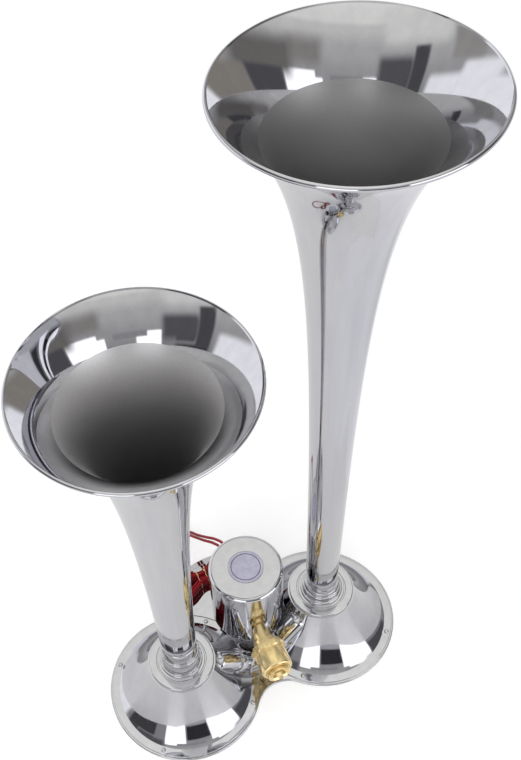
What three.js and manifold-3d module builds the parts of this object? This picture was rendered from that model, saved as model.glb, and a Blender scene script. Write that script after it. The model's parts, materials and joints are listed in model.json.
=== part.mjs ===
// Upright air horn with two trumpets of different length, one for each note.
// Millimetres, +Z up. The origin is at the underside of the base plate, midway between the two trumpets.
// The left horn stands at -X and the right horn at +X. -Y is the front, where the air hose plugs in.
import * as THREE from "three";
import { mergeVertices } from "three/addons/utils/BufferGeometryUtils.js";
import Module from "manifold-3d";

const wasm = await Module();
wasm.setup();

// How finely round pieces are cut
const BELL_SIDES = 24;
const HOUSING_SIDES = 28;
const PLATE_ARC_STEPS = 14;
const ROUND_SIDES = 20;
const SMALL_SIDES = 14;
const SCREW_SIDES = 6;
const HEX_SIDES = 6;
const FULL_TURN = Math.PI * 2;

// Clearances
const GAP = 0.3;
const OVERRUN = 2;

// Diaphragm housings: their flanges stand a little apart
const HORN_SPACING = 140;
const FLANGE_SIDE_GAP = 3.7;
const FLANGE_RADIUS = HORN_SPACING / 2 - FLANGE_SIDE_GAP;
const FLANGE_WIDTH = 6.8;
const FLANGE_THICKNESS = 1.4;
const FLANGE_EDGE = 0.5;
const HOUSING_FOOT_RADIUS = FLANGE_RADIUS - FLANGE_WIDTH;
const HOUSING_TOP_RADIUS = 29.3;
const HOUSING_REACH = HOUSING_FOOT_RADIUS - HOUSING_TOP_RADIUS;
const HOUSING_HEIGHT = 51;
const HOUSING_WALL_ACROSS = 3;
const HOUSING_TOP_WALL = 4;
const HOUSING_LEDGE_THICKNESS = 3;
const HOUSING_OUTLINE_STEPS = 8;
// Shares of the way from the crown to the foot, and of the height
const HOUSING_OUTLINE_SHARES = [
  [1, 0],
  [0.88, 0.06],
  [0.746, 0.15],
  [0.525, 0.34],
  [0.385, 0.48],
  [0.271, 0.6],
  [0.136, 0.79],
  [0.05, 0.94],
  [0, 1],
];

// Base plate, whose lobes reach a little past the housings' flanges
const PLATE_MARGIN = 1.7;
const LOBE_RADIUS = FLANGE_RADIUS + PLATE_MARGIN;
const REAR_LOBE_Y = 37;
const PLATE_THICKNESS = 2.6;
const PLATE_EDGE = 0.9;
const FRONT_HOLLOW_RADIUS = 28;

// Crown ring and trumpet nut
const CROWN_RADIUS = 28.2;
const CROWN_THICKNESS = 3;
const CROWN_EDGE = 0.8;
const CROWN_GROOVE_RADIUS = 21.6;
const CROWN_GROOVE_WIDTH = 1.4;
const CROWN_GROOVE_DEPTH = 1;
const NUT_FLANGE_RADIUS = 18.4;
const NUT_FLANGE_HEIGHT = 3;
const NUT_LOWER_RADIUS = 16.6;
const NUT_UPPER_RADIUS = 15;
const NUT_LOWER_STEP_SHARE = 0.54;
const NUT_EDGE = 0.8;
const LEFT_NUT_HEIGHT = 36;
const RIGHT_NUT_HEIGHT = 14;
const NUT_BORE_RADIUS = 8;
const NUT_SPIGOT_HEIGHT = 9;

// Trumpets
const BELL_RADIUS = 76;
const TRUMPET_WALL = 1;
const LEFT_BELL_HEIGHT = 436;
const RIGHT_BELL_HEIGHT = 581;
const LEFT_FOOT_RADIUS = 14.9;
const RIGHT_FOOT_RADIUS = 13.7;
const TRUMPET_FOOT_ROUND = 0.7;
const LEFT_FLARE_LENGTH = 66;
const LEFT_FLARE_POWER = 1.3;
const RIGHT_FLARE_LENGTH = 102;
const RIGHT_FLARE_POWER = 1.97;
const RIM_ROLL_RADIUS = 1.6;
const RIM_ROLL_STEPS = 4;
const FLARE_STEPS = 12;
const FLARE_CROWDING = 2.2;
const TUBE_STEPS = 6;

// Throat and diaphragm
const NOZZLE_OUTER_RADIUS = 11.2;
const NOZZLE_BORE_RADIUS = 7.5;
const NOZZLE_LIP_RADIUS = 9.2;
const NOZZLE_LIP_HEIGHT = 4;
const NOZZLE_COLLAR_RADIUS = 15;
const DIAPHRAGM_INSET = 17.5;
const DIAPHRAGM_RADIUS = HOUSING_FOOT_RADIUS - DIAPHRAGM_INSET;
const DIAPHRAGM_THICKNESS = 0.6;
const GASKET_WIDTH = 5;
const GASKET_THICKNESS = 1.2;
const CLAMP_RING_WIDTH = 7;
const CLAMP_RING_HEIGHT = 8;

// Flange screws
const SCREW_EDGE_DISTANCE = 3.7;
const SCREW_CIRCLE_RADIUS = FLANGE_RADIUS - SCREW_EDGE_DISTANCE;
const SCREW_HEAD_RADIUS = 2.1;
const SCREW_HEAD_HEIGHT = 1.3;
const SCREW_SHANK_RADIUS = 1.2;
const HEAD_SHOULDER_SHARE = 0.8;
const HEAD_CROWN_SHARE = 0.35;
const SCREWS_PER_HOUSING = 4;

// Valve place and pad
const VALVE_X = 7;
const VALVE_Y = 21.5;
const PAD_MARGIN = 6;
const PAD_RADIUS = LOBE_RADIUS - PAD_MARGIN;
const PAD_THICKNESS = 1.6;
const PAD_EDGE = 0.5;
const PAD_FRONT_Y = 4;

// Valve body and its passages
const BODY_RADIUS = 21;
const BODY_TOP_Z = 62;
const CHAMBER_RADIUS = 9.5;
const CHAMBER_DEPTH = 18;
const SEAT_RADIUS = 5.5;
const SEAT_HEIGHT = 3;
const ORIFICE_RADIUS = 3.5;
const OUTLET_Z = 15;
const OUTLET_RADIUS = 5;

// Solenoid
const COIL_HEIGHT = 45;
const BOBBIN_FLANGE_THICKNESS = 2.5;
const BOBBIN_BARREL_WALL = 2;
const WINDING_DEPTH = 1.5;
const CORE_TUBE_RADIUS = 8.2;
const CORE_TUBE_WALL = 1;
const CORE_TUBE_FLANGE_RADIUS = 13;
const CORE_TUBE_FLANGE_THICKNESS = 2;
const CORE_TUBE_TOP_DROP = 1.5;
const COIL_NUT_ACROSS_CORNERS = 22;
const PLUNGER_LENGTH = 26;
const PLUNGER_TRAVEL = 3;
const PLUNGER_FIT = 0.4;
const SPRING_POCKET_RADIUS = 4.2;
const SPRING_POCKET_DEPTH = 12;
const SPRING_RADIUS = 3.2;
const SPRING_WIRE_RADIUS = 0.45;
const SPRING_CURLS = 6;
const SPRING_STEPS_PER_CURL = 8;
const SPRING_WIRE_SIDES = 5;
const VALVE_DISC_RADIUS = 6.5;
const VALVE_DISC_THICKNESS = 3;

// Chromed cup over the coil
const CUP_RADIUS = 31.7;
const CUP_TOP_Z = 117;
const CUP_BOTTOM_Z = 42;
const CUP_WALL = 1.4;
const COIL_SIDE_GAP = 4.2;
const COIL_RADIUS = CUP_RADIUS - CUP_WALL - COIL_SIDE_GAP;
const CUP_EDGE_RADIUS = 3.5;
const CUP_EDGE_STEPS = 3;
const BADGE_RADIUS = 14.8;
const BADGE_RECESS = 0.6;
const BADGE_THICKNESS = 1;
const BADGE_LINE_RADIUS = 12.7;
const BADGE_LINE_WIDTH = 0.7;
const BADGE_LINE_DEPTH = 0.3;

// Brass push-in fitting
const FITTING_YAW = THREE.MathUtils.degToRad(6.5);
const FITTING_Z = 48;
const SPIGOT_RADIUS = 6;
const SPIGOT_LENGTH = 7;
const NECK_RADIUS = 8;
const NECK_END = 38.6;
const SHOULDER_RADIUS = 10.5;
const SHOULDER_LENGTH = 4.8;
const HEX_ACROSS_CORNERS = 31;
const HEX_LENGTH = 6.8;
const BARREL_RADIUS = 14;
const BARREL_LENGTH = 17.2;
const BARREL_EDGE = 2;
const HOSE_RADIUS = 6.35;
const AIRWAY_RADIUS = 4.5;
const SOCKET_DEPTH = 26;
const POCKET_RADIUS = 10.8;
const POCKET_DEPTH = 16;
const SEAL_WIRE_RADIUS = 1.8;
const SEAL_WIRE_SIDES = 8;
const COLLET_LENGTH = 6;
const COLLET_TEETH = 8;
const COLLET_SLOT_WIDTH = 1.4;
const COLLET_SLOT_DEPTH = 4;
const COLLET_WALL = 1.6;
const COLLAR_LIP_RADIUS = 10.4;
const COLLAR_LIP_LENGTH = 1.6;
const COLLAR_SLEEVE_RADIUS = 8.6;
const COLLAR_TRAVEL = 2;

// Manifold block and ducts
const BLOCK_WIDTH = 32;
const BLOCK_FRONT_Y = -24;
const BLOCK_OVERLAP = 1.5;
const BLOCK_REAR_Y = VALVE_Y - BODY_RADIUS + BLOCK_OVERLAP;
const BLOCK_TOP_Z = 24;
const BLOCK_EDGE = 3;
const BLOCK_EDGE_STEPS = 4;
const DUCT_RADIUS = 8.5;
const DUCT_BORE_RADIUS = 5.5;
const DUCT_START = [8, -13, 13];
const DUCT_END_ACROSS_SHARE = 0.182;
const DUCT_END_SINK = 4.8;
const DUCT_END_Y = -10.5;
const DUCT_END_Z = 41;
const DUCT_END_FROM_HORN = HOUSING_TOP_RADIUS + HOUSING_REACH * DUCT_END_ACROSS_SHARE - DUCT_END_SINK;
const DUCT_END = [HORN_SPACING / 2 - DUCT_END_FROM_HORN, DUCT_END_Y, DUCT_END_Z];
const DUCT_BORE_OVERRUN = 6;
const DUCT_END_ROUND = 6;
const DUCT_END_STEPS = 2;
const GLAND_RADIUS = 10.4;
const GLAND_LENGTH = 6;
const GLAND_PLACE_SHARE = 0.36;

// Red leads: each runs from the grommet to its hank, which lies on the rear lobe
const LEAD_RADIUS = 1.35;
const LEAD_SIDES = 8;
const LEAD_STEPS = 30;
const GROMMET_RADIUS = 5.5;
const GROMMET_WAIST_RADIUS = 4.2;
const GROMMET_LIP = 1.8;
const GROMMET_CURVE_CLEARANCE = 1;
const GROMMET_TAIL = 3.3;
const GROMMET_TAIL_RADIUS = 3.6;
const GROMMET_Z = 60;
const RED_LEAD_1_ROUTE = [
  [9.5, 58.9, 60],
  [10.2, 65.3, 60],
  [11.2, 73.1, 58.5],
  [11.5, 82.3, 54],
  [9.3, 93.5, 46],
  [5.5, 103.7, 38],
  [2.3, 116.6, 27],
  [-0.8, 129.5, 16],
  [-4.6, 140.2, 7],
  [-10.2, 147.7, 2.4],
  [-17.6, 152.4, 1.4],
  [-26.9, 154.3, 1.4],
  [-36.2, 151.5, 1.4],
  [-43.6, 145, 1.4],
  [-47.3, 136.6, 1.4],
  [-48.3, 126, 1.4],
  [-46.8, 115.4, 1.4],
  [-43.5, 106.9, 2],
  [-38.4, 99.9, 3.8],
  [-33, 96.3, 5.4],
  [-28.3, 95.5, 5.7],
];
const RED_LEAD_2_ROUTE = [
  [13, 58.5, 60],
  [13.6, 64.9, 60],
  [14.8, 73.2, 59.4],
  [15, 83, 56.8],
  [12.7, 94.5, 48.4],
  [8.9, 104.7, 39.4],
  [5.7, 117.4, 27],
  [2.6, 130.5, 16],
  [-1.4, 141.8, 7],
  [-7.8, 150.3, 2.4],
  [-16.4, 155.6, 1.4],
  [-27.1, 157.7, 1.4],
  [-37.8, 154.5, 1.4],
  [-46.4, 147, 1.4],
  [-50.7, 137.4, 1.4],
  [-51.7, 126, 1.4],
  [-50.2, 115, 2.4],
  [-46.5, 106.6, 5],
  [-40.6, 99.7, 8.6],
  [-34, 96.2, 11.4],
  [-28.3, 95.5, 12.1],
];

// Hanks of the leads' spare length: loops with waisted runs and round ends, in two layers each
const HANK_START = [-28, 95.5];
const HANK_RUN_LENGTH = 40;
const HANK_OUTER_BEND = 13;
const HANK_PITCH = 3.2;
const HANK_WAIST = 7;
const HANK_REST = 0.15;
const HANK_TAIL_STEPS = 2;
const HANK_LOOPS = 3;
const HANK_STEPS_PER_LOOP = 24;
const HANK_WIRE_SIDES = 6;

// Materials
function finish(color, metalness, roughness) {
  return new THREE.MeshStandardMaterial({ color, metalness, roughness });
}

const chrome = finish(0xd8dade, 1, 0.08);
const brass = finish(0xd9b04a, 1, 0.25);
const steel = finish(0xa9adb2, 1, 0.35);
const rubber = finish(0x17181a, 0, 0.7);
const castMetal = finish(0xb9bcc2, 1, 0.3);
const copper = finish(0xb5652d, 1, 0.4);
const badgePaint = finish(0xc9c8de, 0, 0.4);
const redPlastic = finish(0x9b1420, 0, 0.35);

// A geometry with positions only, shared corners merged and flat triangles dropped.
function welded(geometry) {
  const bare = geometry.clone();
  bare.deleteAttribute("normal");
  bare.deleteAttribute("uv");
  const merged = mergeVertices(bare);
  const corners = merged.index.array;
  const kept = [];
  for (let i = 0; i < corners.length; i += 3) {
    const [a, b, c] = [corners[i], corners[i + 1], corners[i + 2]];
    if (a !== b && b !== c && c !== a) kept.push(a, b, c);
  }
  merged.setIndex(kept);
  return merged;
}

// The closed solid that a geometry bounds.
function solid(geometry) {
  const whole = welded(geometry);
  const shape = new wasm.Mesh({
    numProp: 3,
    vertProperties: whole.attributes.position.array,
    triVerts: new Uint32Array(whole.index.array),
  });
  return new wasm.Manifold(shape);
}

// A named mesh with the shape of a solid.
function part(name, shape, material) {
  const { vertProperties, triVerts } = shape.getMesh();
  const geometry = new THREE.BufferGeometry();
  geometry.setAttribute("position", new THREE.BufferAttribute(vertProperties, 3));
  geometry.setIndex(new THREE.BufferAttribute(triVerts, 1));
  geometry.computeVertexNormals();
  const mesh = new THREE.Mesh(geometry, material);
  mesh.name = name;
  return mesh;
}

// A solid turned about +Z from a closed outline of [radius, height] points.
function turned(outline, sides) {
  let area = 0;
  outline.forEach(([r, z], i) => {
    const [nextR, nextZ] = outline[(i + 1) % outline.length];
    area += r * nextZ - nextR * z;
  });
  const ordered = area > 0 ? [...outline] : [...outline].reverse();
  const points = [...ordered, ordered[0]].map(([r, z]) => new THREE.Vector2(r, z));
  return solid(new THREE.LatheGeometry(points, sides).rotateX(Math.PI / 2));
}

function cylinder(radius, bottom, top, sides) {
  return turned(
    [
      [0, bottom],
      [radius, bottom],
      [radius, top],
      [0, top],
    ],
    sides,
  );
}

// A flat ring, round the Z axis.
function ring(outer, inner, bottom, top, sides) {
  return turned(
    [
      [inner, bottom],
      [outer, bottom],
      [outer, top],
      [inner, top],
    ],
    sides,
  );
}

function box(xMin, xMax, yMin, yMax, zMin, zMax) {
  const block = new THREE.BoxGeometry(xMax - xMin, yMax - yMin, zMax - zMin);
  return solid(block.translate((xMin + xMax) / 2, (yMin + yMax) / 2, (zMin + zMax) / 2));
}

// A solid whose own +Z axis is laid along the line from one point to another, starting at the first.
function along(shape, from, to) {
  const start = new THREE.Vector3(...from);
  const direction = new THREE.Vector3(...to).sub(start).normalize();
  const turn = new THREE.Quaternion().setFromUnitVectors(new THREE.Vector3(0, 0, 1), direction);
  const matrix = new THREE.Matrix4().compose(start, turn, new THREE.Vector3(1, 1, 1));
  return shape.transform(matrix.elements);
}

function distance(from, to) {
  return new THREE.Vector3(...from).distanceTo(new THREE.Vector3(...to));
}

// A round wire swept along a list of points, with flat ends.
function wire(points, radius, sides) {
  const places = [];
  const corners = [];
  let across = new THREE.Vector3(0, 0, 1);
  points.forEach((point, i) => {
    const before = points[Math.max(i - 1, 0)];
    const after = points[Math.min(i + 1, points.length - 1)];
    const ahead = after.clone().sub(before).normalize();
    across = across.sub(ahead.clone().multiplyScalar(across.dot(ahead))).normalize();
    const up = ahead.clone().cross(across);
    for (let side = 0; side < sides; side += 1) {
      const angle = (side / sides) * FULL_TURN;
      const place = point.clone();
      place.addScaledVector(across, Math.cos(angle) * radius);
      place.addScaledVector(up, Math.sin(angle) * radius);
      places.push(...place.toArray());
    }
  });
  const last = (points.length - 1) * sides;
  for (let i = 0; i < points.length - 1; i += 1) {
    for (let side = 0; side < sides; side += 1) {
      const next = (side + 1) % sides;
      const [a, b] = [i * sides + side, i * sides + next];
      corners.push(a, b, b + sides, a, b + sides, a + sides);
    }
  }
  for (let side = 1; side < sides - 1; side += 1) {
    corners.push(0, side + 1, side);
    corners.push(last, last + side, last + side + 1);
  }
  const geometry = new THREE.BufferGeometry();
  geometry.setAttribute("position", new THREE.Float32BufferAttribute(places, 3));
  geometry.setIndex(corners);
  return solid(geometry);
}

// The least gap between a wire's surface and itself, leaving out each point's near neighbours.
function leastGap(points, radius, neighbours) {
  let least = Infinity;
  points.forEach((point, i) => {
    points.slice(i + neighbours).forEach((other) => {
      least = Math.min(least, point.distanceTo(other) - radius * 2);
    });
  });
  return least;
}

// Heights that several pieces share
const FLANGE_TOP_Z = PLATE_THICKNESS + FLANGE_THICKNESS;
const HOUSING_TOP_Z = FLANGE_TOP_Z + HOUSING_HEIGHT;
const CROWN_TOP_Z = HOUSING_TOP_Z + CROWN_THICKNESS;
const DIAPHRAGM_BOTTOM_Z = PLATE_THICKNESS + CLAMP_RING_HEIGHT;
const DIAPHRAGM_TOP_Z = DIAPHRAGM_BOTTOM_Z + DIAPHRAGM_THICKNESS;
const LEDGE_BOTTOM_Z = DIAPHRAGM_TOP_Z + GASKET_THICKNESS;
const LEDGE_TOP_Z = LEDGE_BOTTOM_Z + HOUSING_LEDGE_THICKNESS;
const PAD_TOP_Z = PLATE_THICKNESS + PAD_THICKNESS;

// The housing's outer outline above its flange, from the foot up, as [radius, height] points.
function housingOutline() {
  const points = HOUSING_OUTLINE_SHARES.map(
    ([across, up]) =>
      new THREE.Vector2(HOUSING_TOP_RADIUS + across * HOUSING_REACH, FLANGE_TOP_Z + up * HOUSING_HEIGHT),
  );
  const curve = new THREE.SplineCurve(points);
  return curve.getPoints(HOUSING_OUTLINE_STEPS).map((point) => [point.x, point.y]);
}

// The whole space that a housing fills, made larger by a gap, to cut its neighbours with.
function housingSpace(gap) {
  const outline = housingOutline().map(([r, z]) => [r + gap, z + gap]);
  return turned(
    [
      [0, 0],
      [FLANGE_RADIUS + gap, 0],
      [FLANGE_RADIUS + gap, FLANGE_TOP_Z + gap],
      ...outline,
      [0, HOUSING_TOP_Z + gap],
    ],
    HOUSING_SIDES,
  );
}

function atHorn(shape, side) {
  return shape.translate([(side * HORN_SPACING) / 2, 0, 0]);
}

// A duct's end points, mirrored for the left horn.
function ductStart(side) {
  const [x, y, z] = DUCT_START;
  return [side * x, y, z];
}

function ductEnd(side) {
  const [x, y, z] = DUCT_END;
  return [side * x, y, z];
}

function ductBore(side) {
  const length = distance(DUCT_START, DUCT_END) + DUCT_BORE_OVERRUN;
  return along(cylinder(DUCT_BORE_RADIUS, 0, length, SMALL_SIDES), ductStart(side), ductEnd(side));
}

// Places of the flange screws, seen from the horn's own axis.
function screwPlaces() {
  return Array.from({ length: SCREWS_PER_HOUSING }, (_, i) => {
    const angle = ((i + 1 / 2) / SCREWS_PER_HOUSING) * FULL_TURN;
    return [Math.cos(angle) * SCREW_CIRCLE_RADIUS, Math.sin(angle) * SCREW_CIRCLE_RADIUS];
  });
}

function screwHoles(top) {
  const radius = SCREW_SHANK_RADIUS + GAP;
  return screwPlaces().map(([x, y]) =>
    cylinder(radius, -OVERRUN, top + OVERRUN, SCREW_SIDES).translate([x, y, 0]),
  );
}

// The edge of the base plate: two side lobes, a rear lobe and a hollow front between the side lobes.
function plateOutline() {
  const half = HORN_SPACING / 2;
  const reach = LOBE_RADIUS + FRONT_HOLLOW_RADIUS;
  const hollowY = -Math.sqrt(reach * reach - half * half);
  const lobeTurn = Math.atan2(hollowY, -half);
  const rearTurn = Math.atan2(REAR_LOBE_Y, half);
  const rearHalfGap = Math.hypot(half, REAR_LOBE_Y) / 2;
  const rearOpen = Math.acos(rearHalfGap / LOBE_RADIUS);
  const shape = new THREE.Shape();
  const hollowStart = Math.atan2(-hollowY, half);
  shape.absarc(half, 0, LOBE_RADIUS, lobeTurn, Math.PI - rearTurn - rearOpen, false);
  shape.absarc(0, REAR_LOBE_Y, LOBE_RADIUS, rearOpen - rearTurn, Math.PI - rearOpen + rearTurn, false);
  shape.absarc(-half, 0, LOBE_RADIUS, rearTurn + rearOpen, FULL_TURN - Math.PI - lobeTurn, false);
  shape.absarc(0, hollowY, FRONT_HOLLOW_RADIUS, Math.PI - hollowStart, hollowStart, true);
  return shape;
}

function basePlate() {
  const depth = PLATE_THICKNESS - PLATE_EDGE;
  const lower = new THREE.ExtrudeGeometry(plateOutline(), {
    depth,
    curveSegments: PLATE_ARC_STEPS,
    bevelEnabled: true,
    bevelThickness: PLATE_EDGE,
    bevelSize: PLATE_EDGE,
    bevelOffset: -PLATE_EDGE,
    bevelSegments: 1,
  });
  const slab = solid(lower);
  const reach = HORN_SPACING + LOBE_RADIUS;
  const flatBottom = box(-reach, reach, -reach, reach, 0, reach);
  const holes = [-1, 1].flatMap((side) => screwHoles(PLATE_THICKNESS).map((hole) => atHorn(hole, side)));
  return slab.intersect(flatBottom).subtract(wasm.Manifold.union(holes));
}

// The low pad on the rear lobe, cut back round the housings' flanges.
function valvePad() {
  const pad = turned(
    [
      [0, PLATE_THICKNESS],
      [PAD_RADIUS, PLATE_THICKNESS],
      [PAD_RADIUS, PAD_TOP_Z - PAD_EDGE],
      [PAD_RADIUS - PAD_EDGE, PAD_TOP_Z],
      [0, PAD_TOP_Z],
    ],
    BELL_SIDES,
  ).translate([0, REAR_LOBE_Y, 0]);
  const front = box(-PAD_RADIUS, PAD_RADIUS, -LOBE_RADIUS, PAD_FRONT_Y, 0, LOBE_RADIUS);
  return pad.subtract(atHorn(housingSpace(GAP), -1)).subtract(atHorn(housingSpace(GAP), 1)).subtract(front);
}

// Flared shell with a flange at its foot and an inner ledge that the diaphragm is clamped against.
function housing(side) {
  const outline = housingOutline();
  const ceiling = HOUSING_TOP_Z - HOUSING_TOP_WALL;
  const inner = outline.map(([r, z]) => [r - HOUSING_WALL_ACROSS, z]);
  const belowLedge = inner.filter(([, z]) => z < LEDGE_BOTTOM_Z);
  const aboveLedge = inner.filter(([, z]) => z > LEDGE_TOP_Z && z < ceiling);
  const ledgeRadius = DIAPHRAGM_RADIUS - GASKET_WIDTH;
  const neck = NOZZLE_OUTER_RADIUS + GAP;
  const shell = turned(
    [
      [inner[0][0], PLATE_THICKNESS],
      [FLANGE_RADIUS, PLATE_THICKNESS],
      [FLANGE_RADIUS, FLANGE_TOP_Z - FLANGE_EDGE],
      [FLANGE_RADIUS - FLANGE_EDGE, FLANGE_TOP_Z],
      ...outline,
      [neck, HOUSING_TOP_Z],
      [neck, ceiling],
      [aboveLedge.at(-1)[0], ceiling],
      ...[...aboveLedge].reverse(),
      [aboveLedge[0][0], LEDGE_TOP_Z],
      [ledgeRadius, LEDGE_TOP_Z],
      [ledgeRadius, LEDGE_BOTTOM_Z],
      [belowLedge.at(-1)[0], LEDGE_BOTTOM_Z],
      ...[...belowLedge].reverse(),
    ],
    HOUSING_SIDES,
  );
  const airHole = ductBore(side).translate([(-side * HORN_SPACING) / 2, 0, 0]);
  return shell.subtract(wasm.Manifold.union([airHole, ...screwHoles(FLANGE_TOP_Z)]));
}

function crownRing() {
  const grooveOuter = CROWN_GROOVE_RADIUS;
  const grooveInner = CROWN_GROOVE_RADIUS - CROWN_GROOVE_WIDTH;
  const bore = NOZZLE_COLLAR_RADIUS + GAP;
  return turned(
    [
      [bore, HOUSING_TOP_Z],
      [CROWN_RADIUS, HOUSING_TOP_Z],
      [CROWN_RADIUS, CROWN_TOP_Z - CROWN_EDGE],
      [CROWN_RADIUS - CROWN_EDGE, CROWN_TOP_Z],
      [grooveOuter, CROWN_TOP_Z],
      [grooveOuter, CROWN_TOP_Z - CROWN_GROOVE_DEPTH],
      [grooveInner, CROWN_TOP_Z - CROWN_GROOVE_DEPTH],
      [grooveInner, CROWN_TOP_Z],
      [bore, CROWN_TOP_Z],
    ],
    BELL_SIDES,
  );
}

// Stepped nut under a trumpet, with a spigot that the trumpet's foot slides over.
function trumpetNut(height, footRadius) {
  const spigot = footRadius - TRUMPET_WALL - GAP;
  const flangeTop = CROWN_TOP_Z + NUT_FLANGE_HEIGHT;
  const top = CROWN_TOP_Z + height;
  const step = flangeTop + (top - flangeTop) * NUT_LOWER_STEP_SHARE;
  return turned(
    [
      [NUT_BORE_RADIUS, CROWN_TOP_Z],
      [NUT_FLANGE_RADIUS, CROWN_TOP_Z],
      [NUT_FLANGE_RADIUS, flangeTop - NUT_EDGE],
      [NUT_FLANGE_RADIUS - NUT_EDGE, flangeTop],
      [NUT_LOWER_RADIUS, flangeTop],
      [NUT_LOWER_RADIUS, step - NUT_EDGE],
      [NUT_LOWER_RADIUS - NUT_EDGE, step],
      [NUT_UPPER_RADIUS, step],
      [NUT_UPPER_RADIUS, top - NUT_EDGE],
      [NUT_UPPER_RADIUS - NUT_EDGE, top],
      [spigot, top],
      [spigot, top + NUT_SPIGOT_HEIGHT],
      [NUT_BORE_RADIUS, top + NUT_SPIGOT_HEIGHT],
    ],
    BELL_SIDES,
  );
}

// How far a trumpet has opened at a depth below its rim: 1 at the rim and 0 at the foot.
function flareShare(depth, length, flareLength, power) {
  const open = (1 + depth / flareLength) ** -power;
  const foot = (1 + length / flareLength) ** -power;
  return (open - foot) / (1 - foot);
}

// The walls of a trumpet as [radius, height] points from its foot up, with a level seam above the tube.
function trumpetWalls(footZ, bellZ, footRadius, flareLength, power) {
  const length = bellZ - footZ;
  const reach = BELL_RADIUS - RIM_ROLL_RADIUS - footRadius;
  const outer = [];
  for (let i = 0; i <= FLARE_STEPS; i += 1) {
    const depth = length * (1 - i / FLARE_STEPS) ** FLARE_CROWDING;
    const radius = footRadius + reach * flareShare(depth, length, flareLength, power);
    outer.push([radius, bellZ - RIM_ROLL_RADIUS - depth + (RIM_ROLL_RADIUS * depth) / length]);
  }
  const inner = outer.map(([r, z], i) => {
    const [belowR, belowZ] = outer[Math.max(i - 1, 0)];
    const [aboveR, aboveZ] = outer[Math.min(i + 1, outer.length - 1)];
    const span = Math.hypot(aboveR - belowR, aboveZ - belowZ);
    if (i === 0 || i === TUBE_STEPS) return [r - (span / (aboveZ - belowZ)) * TRUMPET_WALL, z];
    const inward = ((aboveZ - belowZ) / span) * TRUMPET_WALL;
    const upward = ((aboveR - belowR) / span) * TRUMPET_WALL;
    return [r - inward, z + upward];
  });
  return { outer, inner };
}

// The long narrow lower piece of a trumpet, a little rounded at its foot.
function trumpetTube({ outer, inner }) {
  const [footR, footStart] = outer[0];
  return turned(
    [
      [footR - TRUMPET_FOOT_ROUND / 2, footStart],
      [footR, footStart + TRUMPET_FOOT_ROUND],
      ...outer.slice(1, TUBE_STEPS + 1),
      ...inner.slice(0, TUBE_STEPS + 1).reverse(),
    ],
    BELL_SIDES,
  );
}

// The flared upper piece, brazed to the tube, with a rolled rim.
function trumpetBell({ outer, inner }) {
  const roll = [];
  const [rimR, rimZ] = outer.at(-1);
  for (let i = 0; i <= RIM_ROLL_STEPS; i += 1) {
    const angle = Math.PI * (i / RIM_ROLL_STEPS) - Math.PI / 2;
    roll.push([rimR + Math.cos(angle) * RIM_ROLL_RADIUS, rimZ + Math.sin(angle) * RIM_ROLL_RADIUS]);
  }
  return turned(
    [...outer.slice(TUBE_STEPS, -1), ...roll, ...inner.slice(TUBE_STEPS, -1).reverse()],
    BELL_SIDES,
  );
}

// The throat that the diaphragm closes, hung from its collar.
function nozzle() {
  const lipTop = DIAPHRAGM_TOP_Z + GAP + NOZZLE_LIP_HEIGHT;
  return turned(
    [
      [NOZZLE_BORE_RADIUS, DIAPHRAGM_TOP_Z + GAP],
      [NOZZLE_LIP_RADIUS, DIAPHRAGM_TOP_Z + GAP],
      [NOZZLE_OUTER_RADIUS, lipTop],
      [NOZZLE_OUTER_RADIUS, HOUSING_TOP_Z],
      [NOZZLE_COLLAR_RADIUS, HOUSING_TOP_Z],
      [NOZZLE_COLLAR_RADIUS, CROWN_TOP_Z],
      [NOZZLE_BORE_RADIUS, CROWN_TOP_Z],
    ],
    SMALL_SIDES,
  );
}

function screw() {
  return turned(
    [
      [0, 0],
      [SCREW_SHANK_RADIUS, 0],
      [SCREW_SHANK_RADIUS, FLANGE_TOP_Z],
      [SCREW_HEAD_RADIUS, FLANGE_TOP_Z],
      [SCREW_HEAD_RADIUS * HEAD_SHOULDER_SHARE, FLANGE_TOP_Z + SCREW_HEAD_HEIGHT * HEAD_SHOULDER_SHARE],
      [SCREW_HEAD_RADIUS * HEAD_CROWN_SHARE, FLANGE_TOP_Z + SCREW_HEAD_HEIGHT],
      [0, FLANGE_TOP_Z + SCREW_HEAD_HEIGHT],
    ],
    SCREW_SIDES,
  );
}

function blockSpace(gap) {
  return box(
    -BLOCK_WIDTH / 2 - gap,
    BLOCK_WIDTH / 2 + gap,
    BLOCK_FRONT_Y - gap,
    BLOCK_REAR_Y + gap,
    PLATE_THICKNESS - gap,
    BLOCK_TOP_Z + gap,
  );
}

function housingSpaces(gap) {
  return atHorn(housingSpace(gap), -1).add(atHorn(housingSpace(gap), 1));
}

// A cylinder from the valve's outlet way at the seat's foot to the middle of the manifold block.
function outletBore() {
  const from = [VALVE_X, VALVE_Y, OUTLET_Z];
  const to = [0, DUCT_START[1], OUTLET_Z];
  return along(cylinder(OUTLET_RADIUS, 0, distance(from, to), SMALL_SIDES), from, to);
}

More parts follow.
